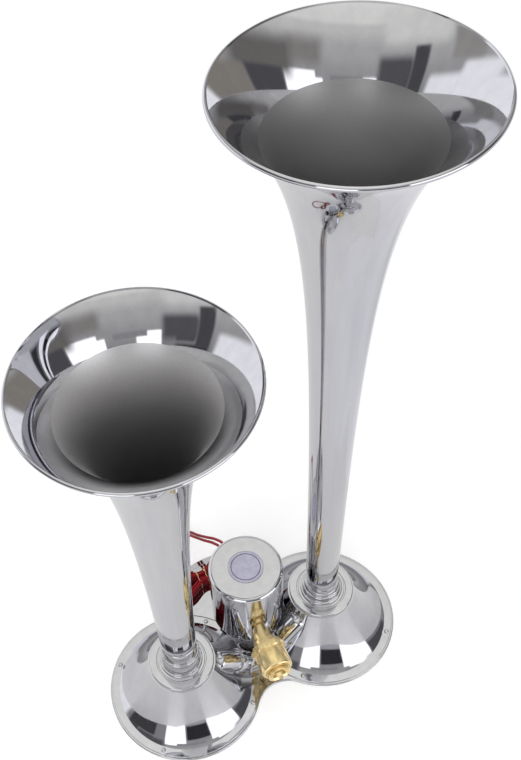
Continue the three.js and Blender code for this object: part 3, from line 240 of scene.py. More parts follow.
# Manifold block, ducts and glands
BLOCK_WIDTH = 32
BLOCK_FRONT_Y = -24
BLOCK_REAR_Y = 2
BLOCK_TOP_Z = 24
BLOCK_EDGE = 3
BLOCK_EDGE_STEPS = 10
BLOCK_SMALL_EDGE = 0.5
BLOCK_SHARP_ANGLE = math.radians(40)
DUCT_RADIUS = 8.5
DUCT_START = (8, -13, 13)
DUCT_END = (40, -10.5, 41)
DUCT_END_ROUND = 6
DUCT_END_STEPS = 12
GLAND_RADIUS = 10.4
GLAND_LENGTH = 6
GLAND_EDGE = 0.6
GLAND_OVERLAP = 0.5
GLAND_PLACE_SHARE = 0.36

# Red leads and their grommet
LEAD_RADIUS = 1.35
LEAD_STEPS_PER_POINT = 5
GROMMET_Z = 60
GROMMET_RADIUS = 5.5
GROMMET_WAIST_RADIUS = 4.2
GROMMET_INNER = 27.5
GROMMET_INNER_END = 29.3
GROMMET_OUTER = 32
GROMMET_LIP_END = 33.8
GROMMET_TAIL_RADIUS = 3.6
GROMMET_TAIL_END = 37.1
GROMMET_LIP_EDGE = 0.6
GROMMET_TAIL_EDGE = 0.5
RED_LEAD_1_ROUTE = [
    (9.5, 58.9, 60), (10.2, 65.3, 60), (11.2, 73.1, 58.5), (11.5, 82.3, 54), (9.3, 93.5, 46),
    (5.5, 103.7, 38), (2.3, 116.6, 27), (-0.8, 129.5, 16), (-4.6, 140.2, 7), (-10.2, 147.7, 2.4),
    (-17.6, 152.4, 1.4), (-26.9, 154.3, 1.4), (-36.2, 151.5, 1.4), (-43.6, 145, 1.4), (-47.3, 136.6, 1.4),
    (-48.3, 126, 1.4), (-46.8, 115.4, 1.4), (-43.5, 106.9, 2), (-38.4, 99.9, 3.8), (-33, 96.3, 5.4),
    (-28.3, 95.5, 5.7),
]
RED_LEAD_2_ROUTE = [
    (13, 58.5, 60), (13.6, 64.9, 60), (14.8, 73.2, 59.4), (15, 83, 56.8), (12.7, 94.5, 48.4),
    (8.9, 104.7, 39.4), (5.7, 117.4, 27), (2.6, 130.5, 16), (-1.4, 141.8, 7), (-7.8, 150.3, 2.4),
    (-16.4, 155.6, 1.4), (-27.1, 157.7, 1.4), (-37.8, 154.5, 1.4), (-46.4, 147, 1.4), (-50.7, 137.4, 1.4),
    (-51.7, 126, 1.4), (-50.2, 115, 2.4), (-46.5, 106.6, 5), (-40.6, 99.7, 8.6), (-34, 96.2, 11.4),
    (-28.3, 95.5, 12.1),
]
HANK_START = (-28, 95.5)
HANK_RUN_LENGTH = 40
HANK_OUTER_BEND = 13
HANK_PITCH = 3.2
HANK_WAIST = 7
HANK_REST = 0.15
HANK_TAIL_SHARE = 0.0833
HANK_LOOPS = 3
HANK_CLIMB_LOOPS = 0.25
HANK_STEPS_PER_LOOP = 72
TIE_PLACES = (-13, -5)
TIE_WIRE_RADIUS = 0.3
TIE_TURNS = 1
TIE_STEPS = 32
TIE_TAIL_TURNS = 4
TIE_TAIL_STEPS = 12
# How far the wire moves on, counted in its radii: in one turn, and in one step of its tail
TIE_PITCH = 2.2
TIE_TAIL_PITCH = 0.35
# How far the tail rises in one step
TIE_TAIL_RISE = 0.08

# The span of a noise texture's values over which a material goes from one shade or gloss to the other
NOISE_SPAN = (0.35, 0.65)

# Studio: a pale table top in a light room
FLOOR_LEFT = -260
FLOOR_RIGHT = 230
FLOOR_FRONT = -205
FLOOR_REAR = 900
FLOOR_DEPTH = 20
FLOOR_EDGE = 3
FLOOR_GLOW = 0.3
FLOOR_GLOW_IN_MIRRORS = 0.05
EVEN_LIGHT = 0.85
LAMP_PLACE = (-0.9, -0.9, 1.5)
LAMP_TARGET = (0, 0, 0.2)
LAMP_SIZE = 0.9
LAMP_POWER = 9

# The room behind the camera as the chrome mirrors it. Azimuths run from the front, positive to the right.
ROOM_LEVELS = [
    (-90, (0.88, 0.88, 0.91)),
    (-14, (0.88, 0.88, 0.91)),
    (-9, (0.5, 0.5, 0.52)),
    (5, (0.3, 0.3, 0.31)),
    (25, (0.45, 0.45, 0.45)),
    (40, (0.57, 0.57, 0.56)),
    (54, (0.78, 0.78, 0.75)),
    (58, (0.98, 0.98, 0.93)),
    (90, (1.2, 1.2, 1.18)),
]
# Each panel: azimuths, elevations, softness of its edges in degrees, colour
ROOM_PANELS = [
    ((-190, -165), (-12, 22), 3, (1.18, 1.18, 1.22)),
    ((-168, -140), (-12, 31), 3, (1.18, 1.18, 1.22)),
    ((-142, -113), (-12, 24), 3, (1.18, 1.18, 1.22)),
    ((112, 190), (-6, 17), 3, (1.18, 1.18, 1.22)),
    ((-152, -127), (32, 51), 3, (0.4, 0.39, 0.37)),
    ((-124, -62), (44, 64), 6, (0.9, 0.9, 0.86)),
    ((-107, -93), (12, 42), 1.5, (0.09, 0.09, 0.1)),
    ((-92, -72), (15, 32), 2, (0.1, 0.1, 0.11)),
    ((-107, -71), (-8, 13), 2, (0.07, 0.07, 0.075)),
    ((-71, -57), (-8, 20), 2, (0.32, 0.32, 0.33)),
    ((-57, -30), (-12, 24), 1, (2, 2, 2.05)),
    ((-42, -5), (20, 25), 1, (0.35, 0.35, 0.36)),
    ((-28, 3), (-5, 14), 1, (0.04, 0.04, 0.045)),
    ((4, 14), (-10, 23), 1, (2, 2, 2.05)),
    ((12, 45), (-10, 27), 1, (2, 2, 2.05)),
    ((5, 40), (30, 46), 6, (0.32, 0.3, 0.29)),
    ((36, 88), (22, 44), 6, (0.2, 0.19, 0.18)),
    ((-93, -58), (17, 36), 4, (0.12, 0.12, 0.13)),
    ((46, 80), (-10, 0), 2, (0.3, 0.3, 0.31)),
    ((46, 80), (0, 27), 2, (0.1, 0.1, 0.11)),
    ((80, 112), (4, 27), 3, (0.31, 0.29, 0.26)),
    ((60, 110), (-50, -35), 5, (0.48, 0.51, 0.48)),
]


# Materials


class Nodes:
    """A node tree, with short ways to add and join nodes."""

    def __init__(self, tree):
        self.tree = tree

    def add(self, kind, *values, **settings):
        """A new node. Values go to its inputs in their order, and settings to what they name."""
        node = self.tree.nodes.new(kind)
        for socket, value in zip(node.inputs, values):
            self.give(socket, value)
        for key, value in settings.items():
            if hasattr(node, key):
                setattr(node, key, value)
            else:
                self.give(node.inputs[key.replace("_", " ")], value)
        return node

    def give(self, socket, value):
        """Joins an input to a socket, or sets it to a number or colour."""
        if isinstance(value, bpy.types.NodeSocket):
            self.tree.links.new(value, socket)
        else:
            socket.default_value = value

    def math(self, operation, *values):
        return self.add("ShaderNodeMath", *values, operation=operation).outputs[0]

    def ranged(self, value, from_low, from_high, low=0, high=1, shape="LINEAR"):
        """A value's share of the way between two limits, spread from low to high."""
        limits = {"From Min": from_low, "From Max": from_high, "To Min": low, "To Max": high}
        return self.add("ShaderNodeMapRange", interpolation_type=shape, Value=value, **limits).outputs[0]


class Surface(Nodes):
    """A new material's nodes, with ways to set its shader."""

    def __init__(self, name, **values):
        self.material = bpy.data.materials.new(name)
        self.material.use_nodes = True
        super().__init__(self.material.node_tree)
        self.shader = self.tree.nodes["Principled BSDF"]
        self.set(**values)

    def set(self, **values):
        for key, value in values.items():
            self.give(self.shader.inputs[key.replace("_", " ")], value)

    def noise(self, scale, detail, roughness=0.5, stretch=(1, 1, 1)):
        """Noise by object coordinates, which are scaled along each axis first."""
        place = self.add("ShaderNodeTexCoord").outputs["Object"]
        stretched = self.add("ShaderNodeMapping", Vector=place, Scale=stretch).outputs[0]
        settings = {"Scale": scale, "Detail": detail, "Roughness": roughness}
        return self.add("ShaderNodeTexNoise", Vector=stretched, **settings).outputs[0]

    def tint(self, texture, dark, light):
        """Base colour that drifts between two shades with the texture."""
        ramp = self.add("ShaderNodeValToRGB", Fac=texture)
        for element, position, color in zip(ramp.color_ramp.elements, NOISE_SPAN, (dark, light)):
            element.position = position
            element.color = (*color, 1)
        self.set(Base_Color=ramp.outputs["Color"])
        return ramp.outputs["Color"]

    def roughen(self, texture, low, high):
        self.set(Roughness=self.ranged(texture, *NOISE_SPAN, low, high))

    def bump(self, texture, strength, distance):
        bump = self.add("ShaderNodeBump", Height=texture, Strength=strength, Distance=distance)
        self.set(Normal=bump.outputs[0])


def chrome_plate():
    """Bright plate with faint wiping marks and a trace of haze."""
    look = Surface("chrome_plate", Metallic=1)
    haze = look.noise(scale=130, detail=5, roughness=0.6, stretch=(1, 1, 0.05))
    look.tint(haze, (0.562, 0.563, 0.592), (0.608, 0.608, 0.632))
    marks = look.noise(scale=240, detail=5, stretch=(1, 1, 0.12))
    look.roughen(marks, low=0.025, high=0.07)
    waves = look.noise(scale=60, detail=2, stretch=(1, 1, 0.25))
    look.bump(waves, strength=0.035, distance=0.0004)
    return look.material


def shade_painted_satin_throat(name, edge_z, shades):
    """Unpolished plate inside a bell: dull and grainy, with painted shade that changes from its edge down.
    """
    look = Surface(f"{name}_shade_painted_satin_throat", Metallic=1)
    grain = look.noise(scale=900, detail=3, roughness=0.7)
    place = look.add("ShaderNodeTexCoord").outputs["Object"]
    height = look.add("ShaderNodeSeparateXYZ", Vector=place).outputs["Z"]
    shade, deep_shade = shades
    # Painted shade: the grain's colour is scaled from the edge level to the deep level over SATIN_FADE down
    # the throat
    depth = look.ranged(height, (edge_z - SATIN_FADE) * MM, edge_z * MM, deep_shade, shade)
    tint = look.tint(grain, (0.92, 0.91, 0.92), (1, 0.99, 1))
    with_painted_shade = look.add("ShaderNodeVectorMath", operation="SCALE", Vector=tint, Scale=depth)
    look.set(Base_Color=with_painted_shade.outputs[0])
    look.roughen(grain, low=0.36, high=0.44)
    look.bump(grain, strength=0.12, distance=0.0002)
    return look.material


def cast_metal():
    look = Surface("cast_metal", Metallic=0.6)
    grain = look.noise(scale=420, detail=4)
    look.tint(grain, (0.72, 0.72, 0.75), (0.86, 0.86, 0.88))
    look.roughen(grain, low=0.2, high=0.34)
    look.bump(grain, strength=0.15, distance=0.0002)
    return look.material


def turned_steel():
    look = Surface("turned_steel", Metallic=1)
    lines = look.noise(scale=300, detail=3, stretch=(0.2, 0.2, 6))
    look.tint(lines, (0.42, 0.42, 0.44), (0.54, 0.54, 0.56))
    look.roughen(lines, low=0.22, high=0.38)
    look.bump(lines, strength=0.1, distance=0.0001)
    return look.material


def black_rubber():
    look = Surface("black_rubber")
    grain = look.noise(scale=700, detail=4)
    look.tint(grain, (0.012, 0.012, 0.014), (0.03, 0.03, 0.033))
    look.roughen(grain, low=0.5, high=0.7)
    look.bump(grain, strength=0.2, distance=0.0002)
    return look.material


def copper_wire():
    look = Surface("copper_wire", Metallic=1)
    lines = look.noise(scale=160, detail=2, stretch=(0.1, 0.1, 10))
    look.tint(lines, (0.5, 0.2, 0.08), (0.75, 0.36, 0.18))
    look.roughen(lines, low=0.3, high=0.45)
    look.bump(lines, strength=0.4, distance=0.0003)
    return look.material


def lavender_badge():
    look = Surface("lavender_badge", Coat_Weight=0.4, Coat_Roughness=0.12)
    cloud = look.noise(scale=180, detail=4)
    look.tint(cloud, (0.42, 0.41, 0.52), (0.5, 0.49, 0.6))
    look.roughen(cloud, low=0.22, high=0.34)
    return look.material


def badge_ink():
    look = Surface("badge_ink")
    cloud = look.noise(scale=300, detail=3)
    look.tint(cloud, (0.035, 0.03, 0.09), (0.06, 0.055, 0.13))
    look.roughen(cloud, low=0.35, high=0.5)
    return look.material


def bright_brass():
    """Turned brass, pale and a little cloudy."""
    look = Surface("bright_brass", Metallic=0.84)
    look.tint(look.noise(scale=90, detail=4), (0.94, 0.71, 0.33), (1, 0.81, 0.43))
    skin = look.noise(scale=420, detail=3, roughness=0.6)
    look.roughen(skin, low=0.2, high=0.27)
    look.bump(skin, strength=0.025, distance=0.0002)
    return look.material


def red_insulation():
    look = Surface("red_insulation", Specular_IOR_Level=0.2)
    look.tint(look.noise(scale=60, detail=3), (0.23, 0.003, 0.01), (0.33, 0.006, 0.018))
    fine = look.noise(scale=800, detail=2)
    look.roughen(fine, low=0.24, high=0.34)
    look.bump(fine, strength=0.05, distance=0.0001)
    return look.material


# Forms


def filleted(corners, steps=FILLET_STEPS):
    """A closed outline of (radius, height, fillet) corners as points, each corner rounded by its fillet."""
    points = []
    for i, (r, z, fillet) in enumerate(corners):
        here = Vector((r, z))
        if not fillet:
            points.append((r, z))
            continue
        before = Vector(corners[i - 1][:2])
        after = Vector(corners[(i + 1) % len(corners)][:2])
        back = (before - here).normalized()
        ahead = (after - here).normalized()
        half = math.acos(max(-1, min(1, back.dot(ahead)))) / 2
        reach = fillet / math.tan(half)
        centre = here + (back + ahead).normalized() * (fillet / math.sin(half))
        start = here + back * reach - centre
        end = here + ahead * reach - centre
        for step in range(steps + 1):
            mixed = start.lerp(end, step / steps).normalized() * fillet
            points.append(tuple(centre + mixed))
    return points


def turned(outline, sides, second_rows=()):
    """A form turned about +Z from a closed outline of (radius, height) points.

    The faces that start at the points numbered in second_rows have the second material.
    """
    maker = bmesh.new()
    columns = []
    for r, z in outline:
        if r < NEAR_ZERO:
            columns.append([maker.verts.new((0, 0, z * MM))] * sides)
            continue
        angles = [side / sides * math.tau for side in range(sides)]
        ring = [(math.cos(angle) * r * MM, math.sin(angle) * r * MM, z * MM) for angle in angles]
        columns.append([maker.verts.new(point) for point in ring])
    for i, ring in enumerate(columns):
        upper = columns[(i + 1) % len(columns)]
        for side in range(sides):
            after = (side + 1) % sides
            corners = list(dict.fromkeys([ring[side], ring[after], upper[after], upper[side]]))
            if len(corners) > 2:
                maker.faces.new(corners).material_index = int(i in second_rows)
    return maker


def join_rings(maker, rings, capped=True):
    """Faces from each ring of vertices to the next, and one over each end."""
    count = len(rings[0])
    for lower, upper in zip(rings, rings[1:]):
        for i in range(count):
            after = (i + 1) % count
            maker.faces.new((lower[i], lower[after], upper[after], upper[i]))
    if capped:
        maker.faces.new(rings[0])
        maker.faces.new(rings[-1])


def box(low, high):
    """A box between two corners."""
    maker = bmesh.new()
    bmesh.ops.create_cube(maker, size=1)
    low = Vector(low) * MM
    high = Vector(high) * MM
    for vert in maker.verts:
        vert.co = Vector(a * b for a, b in zip(vert.co, high - low)) + (low + high) / 2
    return maker


def bevel(maker, edges, width, steps=BEVEL_STEPS):
    bmesh.ops.bevel(maker, geom=edges, offset=width * MM, segments=steps, affect="EDGES", profile=0.5)


# Pieces


def linked(name, data):
    """A new object in the scene."""
    made = bpy.data.objects.new(name, data)
    bpy.context.scene.collection.objects.link(made)
    return made


def smooth(mesh):
    """Shades a mesh smooth between its sharp edges."""
    mesh.shade_smooth()
    mesh.set_sharp_from_angle(angle=SHARP_ANGLE)


def placed(name, form, materials, place=None):
    """An object of a form, with its place written into its mesh."""
    mesh = bpy.data.meshes.new(name)
    bmesh.ops.recalc_face_normals(form, faces=form.faces)
    form.to_mesh(mesh)
    form.free()
    smooth(mesh)
    if place:
        mesh.transform(place)
    for material in materials:
        mesh.materials.append(material)
    return linked(name, mesh)


def fixed(piece, slot, *nodes):
    """Rides a piece on the horn's body, where it stands for CAD nodes."""
    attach(piece, "horn_body")
    if nodes:
        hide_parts(*nodes)


def body_piece(name, form, materials, place, slot, *nodes):
    fixed(placed(name, form, materials, place), slot, *nodes)


def at(x, y, z=0):
    return Matrix.Translation((x * MM, y * MM, z * MM))


def laid(start, direction):
    """A matrix that lays +Z along a direction from a start point."""
    turn = Vector((0, 0, 1)).rotation_difference(Vector(direction))
    return Matrix.Translation(Vector(start) * MM) @ turn.to_matrix().to_4x4()


def from_valve(z, side):
    """A matrix that lays +Z out from the valve's axis: to the fitting at side -1, to the leads at 1."""
    direction = (side * math.sin(FITTING_YAW), side * math.cos(FITTING_YAW), 0)
    return laid((VALVE_X, VALVE_Y, z), direction)


# Base plate


def plate_outline(inset):
    """The plate's edge drawn in by an inset: two side lobes, a rear lobe and a hollow front."""
    half = HORN_SPACING / 2
    lobe = LOBE_RADIUS - inset
    hollow = FRONT_HOLLOW_RADIUS + inset
    reach = LOBE_RADIUS + FRONT_HOLLOW_RADIUS
    hollow_y = -math.sqrt(reach * reach - half * half)
    lobe_turn = math.atan2(hollow_y, -half)
    rear_turn = math.atan2(REAR_LOBE_Y, half)
    rear_open = math.acos(math.hypot(half, REAR_LOBE_Y) / 2 / lobe)
    hollow_start = math.atan2(-hollow_y, half)
    arcs = [
        (half, 0, lobe, lobe_turn, math.pi - rear_turn - rear_open),
        (0, REAR_LOBE_Y, lobe, rear_open - rear_turn, math.pi - rear_open + rear_turn),
        (-half, 0, lobe, rear_turn + rear_open, math.tau - math.pi - lobe_turn),
        (0, hollow_y, hollow, math.pi - hollow_start, hollow_start),
    ]
    points = []
    for x, y, radius, start, end in arcs:
        for step in range(PLATE_ARC_STEPS):
            angle = start + (end - start) * step / PLATE_ARC_STEPS
            points.append((x + math.cos(angle) * radius, y + math.sin(angle) * radius))
    return points


def base_plate(chrome):
    levels = [(0, 0), (0, PLATE_THICKNESS - PLATE_EDGE)]
    for step in range(1, FILLET_STEPS + 1):
        angle = step / FILLET_STEPS * math.pi / 2
        drop = PLATE_EDGE * (1 - math.sin(angle))
        levels.append((PLATE_EDGE * (1 - math.cos(angle)), PLATE_THICKNESS - drop))
    maker = bmesh.new()
    rings = []
    for inset, z in levels:
        rings.append([maker.verts.new((x * MM, y * MM, z * MM)) for x, y in plate_outline(inset)])
    join_rings(maker, rings)
    body_piece("base_plate_shell", maker, [chrome], None, "chrome", "base_plate")


def valve_pad(chrome):
    """The low pad on the rear lobe, whose front runs on between the housings' flanges."""
    corners = [
        (0, PLATE_THICKNESS, 0),
        (PAD_RADIUS, PLATE_THICKNESS, 0),
        (PAD_RADIUS, PAD_TOP_Z, PAD_EDGE),
        (0, PAD_TOP_Z, 0),
    ]
    form = turned(filleted(corners), BELL_SIDES)
    piece = placed("valve_mount_pad_shell", form, [chrome], at(0, REAR_LOBE_Y))
    cut(piece, placed("pad_cutter", flange_cutter(), []))
    fixed(piece, "chrome", "valve_mount_pad")


def flange_cutter():
    """Both housings' flanges with a small gap round them, to cut the pad with."""
    maker = bmesh.new()
    radius = (FLANGE_RADIUS + PAD_CUT_GAP) * MM
    for x in (-HORN_SPACING / 2, HORN_SPACING / 2):
        bmesh.ops.create_cone(
            maker,
            cap_ends=True,
            segments=BELL_SIDES,
            radius1=radius,
            radius2=radius,
            depth=PAD_CUT_HEIGHT * MM,
            matrix=at(x, 0, PLATE_THICKNESS),
        )
    return maker


def cut(piece, cutter):
    """Takes the cutter out of the piece, then deletes the cutter."""
    modifier = piece.modifiers.new("cut", "BOOLEAN")
    modifier.operation = "DIFFERENCE"
    modifier.solver = "EXACT"
    modifier.use_self = True
    modifier.object = cutter
    bpy.context.view_layer.update()
    whole = piece.evaluated_get(bpy.context.evaluated_depsgraph_get())
    piece.data = bpy.data.meshes.new_from_object(whole)
    piece.modifiers.clear()
    smooth(piece.data)
    bpy.data.objects.remove(cutter)


# Horns


def housing_outline():
    """The housing's curved flank from its foot up, as (radius, height) points."""
    reach = HOUSING_FOOT_RADIUS - HOUSING_TOP_RADIUS
    height = HOUSING_TOP_Z - FLANGE_TOP_Z
    handles = [(1, 0), FOOT_HANDLE_SHARES, CROWN_HANDLE_SHARES, (0, 1)]
    points = []
    for step in range(OUTLINE_STEPS + 1):
        u = step / OUTLINE_STEPS
        weights = [(1 - u) ** 3, 3 * (1 - u) ** 2 * u, 3 * (1 - u) * u**2, u**3]
        across = sum(w * h[0] for w, h in zip(weights, handles))
        up = sum(w * h[1] for w, h in zip(weights, handles))
        points.append((HOUSING_TOP_RADIUS + across * reach, FLANGE_TOP_Z + up * height))
    return points


def housing():
    flank = housing_outline()
    inner = [(r - HOUSING_WALL, z) for r, z in flank if z < HOUSING_TOP_Z - HOUSING_WALL]
    flange = [
        (inner[0][0], PLATE_THICKNESS, 0),
        (FLANGE_RADIUS, PLATE_THICKNESS, 0),
        (FLANGE_RADIUS, FLANGE_TOP_Z, FLANGE_EDGE),
        (HOUSING_FOOT_RADIUS, FLANGE_TOP_Z, 0),
    ]
    bore = [(CROWN_BORE_RADIUS, HOUSING_TOP_Z), (CROWN_BORE_RADIUS, inner[-1][1])]
    return turned(filleted(flange)[:-1] + flank + bore + inner[:0:-1], BELL_SIDES)


def crown_ring():
    groove = CROWN_GROOVE_RADIUS - CROWN_GROOVE_WIDTH
    groove_z = CROWN_TOP_Z - CROWN_GROOVE_DEPTH
    corners = [
        (CROWN_BORE_RADIUS, HOUSING_TOP_Z, 0),
        (CROWN_RADIUS, HOUSING_TOP_Z, 0),
        (CROWN_RADIUS, CROWN_TOP_Z, CROWN_EDGE),
        (CROWN_GROOVE_RADIUS, CROWN_TOP_Z, CROWN_GROOVE_EDGE),
        (CROWN_GROOVE_RADIUS, groove_z, SMALL_EDGE),
        (groove, groove_z, SMALL_EDGE),
        (groove, CROWN_TOP_Z, CROWN_GROOVE_EDGE),
        (CROWN_BORE_RADIUS, CROWN_TOP_Z, 0),
    ]
    return turned(filleted(corners), BELL_SIDES)


def trumpet_nut(top, foot_radius):
    spigot = foot_radius - TRUMPET_WALL - FOOT_FIT
    step = NUT_FLANGE_TOP_Z + (top - NUT_FLANGE_TOP_Z) * NUT_STEP_SHARE
    corners = [
        (NUT_BORE_RADIUS, CROWN_TOP_Z, 0),
        (NUT_FLANGE_RADIUS, CROWN_TOP_Z, 0),
        (NUT_FLANGE_RADIUS, NUT_FLANGE_TOP_Z, NUT_EDGE),
        (NUT_LOWER_RADIUS, NUT_FLANGE_TOP_Z, NUT_CREASE),
        (NUT_LOWER_RADIUS, step, NUT_EDGE),
        (NUT_UPPER_RADIUS, step, NUT_CREASE),
        (NUT_UPPER_RADIUS, top, NUT_EDGE),
        (spigot, top, 0),
        (spigot, top + NUT_SPIGOT_HEIGHT, 0),
        (NUT_BORE_RADIUS, top + NUT_SPIGOT_HEIGHT, 0),
    ]
    return turned(filleted(corners), ROUND_SIDES)


def flare_share(depth, length, flare):
    """How far a trumpet has opened at a depth below its rim: 1 at the rim and 0 at the foot."""
    flare_length, power = flare
    opened = (1 + depth / flare_length) ** -power
    foot = (1 + length / flare_length) ** -power
    return (opened - foot) / (1 - foot)


def trumpet(foot_z, bell_z, foot_radius, flare, satin_depth):
    """The trumpet's shell, whose throat has the second material."""
    length = bell_z - foot_z
    reach = BELL_RADIUS - RIM_ROLL_RADIUS - foot_radius
    outer = []
    for i in range(FLARE_STEPS + 1):
        depth = length * (1 - i / FLARE_STEPS) ** FLARE_CROWDING
        radius = foot_radius + reach * flare_share(depth, length, flare)
        outer.append((radius, bell_z - RIM_ROLL_RADIUS - depth + RIM_ROLL_RADIUS * depth / length))
    inner = []
    for i, (r, z) in enumerate(outer[:-1]):
        below_r, below_z = outer[max(i - 1, 0)]
        above_r, above_z = outer[i + 1]
        span = math.hypot(above_r - below_r, above_z - below_z)
        inward = (above_z - below_z) / span * TRUMPET_WALL
        upward = (above_r - below_r) / span * TRUMPET_WALL
        inner.append((r - inward, z if i == 0 else z + upward))
    rim_r, rim_z = outer[-1]
    roll = []
    for i in range(RIM_ROLL_STEPS + 1):
        angle = math.pi * (i / RIM_ROLL_STEPS) - math.pi / 2
        roll.append((rim_r + math.cos(angle) * RIM_ROLL_RADIUS, rim_z + math.sin(angle) * RIM_ROLL_RADIUS))
    foot = [(outer[0][0] - inward, outer[0][1] + up) for inward, up in FOOT_EDGE]
    outline = foot + outer[2:-1] + roll + inner[::-1]
    first_inner = len(outline) - len(inner)
    throat = [i for i, (_, z) in enumerate(outline) if i >= first_inner and z < bell_z - satin_depth]
    return turned(outline, BELL_SIDES, throat)


def screw():
    outline = [(0, 0), (SCREW_SHANK_RADIUS, 0), (SCREW_SHANK_RADIUS, FLANGE_TOP_Z)]
    outline.append((SCREW_HEAD_RADIUS, FLANGE_TOP_Z))
    for step in range(1, SCREW_DOME_STEPS):
        angle = step / SCREW_DOME_STEPS * math.pi / 2
        radius = SCREW_HEAD_RADIUS * math.cos(angle) ** SCREW_DOME_POWER
        outline.append((radius, FLANGE_TOP_Z + math.sin(angle) * SCREW_HEAD_HEIGHT))
    outline.append((0, FLANGE_TOP_Z + SCREW_HEAD_HEIGHT))
    return turned(outline, SMALL_SIDES)


def horn(side, name, nut_top, bell_z, foot_radius, flare, satin_depth, chrome, satin):
    x = side * HORN_SPACING / 2
    shell = trumpet(nut_top, bell_z, foot_radius, flare, satin_depth)
    for piece, form, materials, nodes in (
        ("housing_shell", housing(), [chrome], ["housing"]),
        ("crown_ring_turned", crown_ring(), [chrome], ["crown_ring"]),
        ("nut_turned", trumpet_nut(nut_top, foot_radius), [chrome], ["trumpet_nut"]),
        ("trumpet_shell", shell, [chrome, satin], ["trumpet", "bell"]),
    ):
        stands_for = [f"{name}_{node}" for node in nodes]
        body_piece(f"{name}_{piece}", form, materials, at(x, 0), "chrome", *stands_for)
    for i in range(SCREWS_PER_HOUSING):
        angle = (i + 0.5) / SCREWS_PER_HOUSING * math.tau
        place = at(x + math.cos(angle) * SCREW_CIRCLE_RADIUS, math.sin(angle) * SCREW_CIRCLE_RADIUS)
        node = f"{name}_flange_screw_{i + 1}"
        body_piece(f"{name}_screw_head_{i + 1}", screw(), [chrome], place, "chrome", node)


# Valve


def valve_body(metal):
    corners = [
        (0, PAD_TOP_Z, 0),
        (BODY_RADIUS, PAD_TOP_Z, 0),
        (BODY_RADIUS, BODY_TOP_Z, BODY_EDGE),
        (0, BODY_TOP_Z, 0),
    ]
    form = turned(filleted(corners), ROUND_SIDES)
    body_piece("valve_body_turned", form, [metal], at(VALVE_X, VALVE_Y), "cast_metal", "valve_body")


def cup(chrome):
    inside = CUP_RADIUS - CUP_WALL
    ceiling = CUP_TOP_Z - CUP_WALL
    recess = BADGE_RADIUS + BADGE_GAP
    corners = [
        (inside, CUP_BOTTOM_Z, 0),
        (CUP_RADIUS, CUP_BOTTOM_Z, SOFT_EDGE),
        (CUP_RADIUS, CUP_TOP_Z, CUP_EDGE_RADIUS),
        (recess, CUP_TOP_Z, FINE_EDGE),
        (recess, BADGE_BOTTOM_Z, 0),
        (0, BADGE_BOTTOM_Z, 0),
        (0, ceiling, 0),
        (inside, ceiling, CUP_CEILING_FILLET),
    ]
    form = turned(filleted(corners, CUP_FILLET_STEPS), BELL_SIDES)
    body_piece("solenoid_cup", form, [chrome], at(VALVE_X, VALVE_Y), "chrome", "solenoid_cover")


def badge(enamel, ink):
    """A bare round badge with one thin printed ring, its second material."""
    line_end = (BADGE_LINE_RADIUS, BADGE_TOP_Z)
    outline = [
        (0, BADGE_BOTTOM_Z),
        (BADGE_RADIUS, BADGE_BOTTOM_Z),
        (BADGE_RADIUS, BADGE_TOP_Z - BADGE_EDGE_HEIGHT),
        (BADGE_RADIUS - BADGE_EDGE_WIDTH, BADGE_TOP_Z),
        line_end,
        (BADGE_LINE_RADIUS - BADGE_LINE_WIDTH, BADGE_TOP_Z),
        (0, BADGE_TOP_Z),
    ]
    form = turned(outline, ROUND_SIDES, [outline.index(line_end)])
    body_piece("cup_badge", form, [enamel, ink], at(VALVE_X, VALVE_Y), "badge", "cover_badge")


def hexagon():
    """The fitting's six-sided flange with its corners turned off, open inside the barrel."""
    corner = HEX_ACROSS_CORNERS / 2
    flat = corner * math.cos(math.pi / 6)
    middle = (flat + corner) / 2
    drop = (corner - flat) * math.tan(HEX_CHAMFER)
    inner = BARREL_RADIUS - HEX_OVERLAP
    half = [(inner, 0), (flat, 0), (middle, drop / 2), (corner, drop)]
    levels = [(limit, HEX_START + rise) for limit, rise in half]
    levels += [(limit, HEX_END - rise) for limit, rise in half[::-1]]
    maker = bmesh.new()
    rings = []
    for limit, z in levels:
        ring = []
        for point in range(HEX_POINTS):
            angle = point / HEX_POINTS * math.tau
            from_flat = (angle % (math.pi / 3)) - math.pi / 6
            radius = inner if limit == inner else min(flat / math.cos(from_flat), limit)
            place = Vector((math.cos(angle) * radius, math.sin(angle) * radius, z))
            ring.append(maker.verts.new(place * MM))
        rings.append(ring)
    join_rings(maker, rings, capped=False)
    return maker


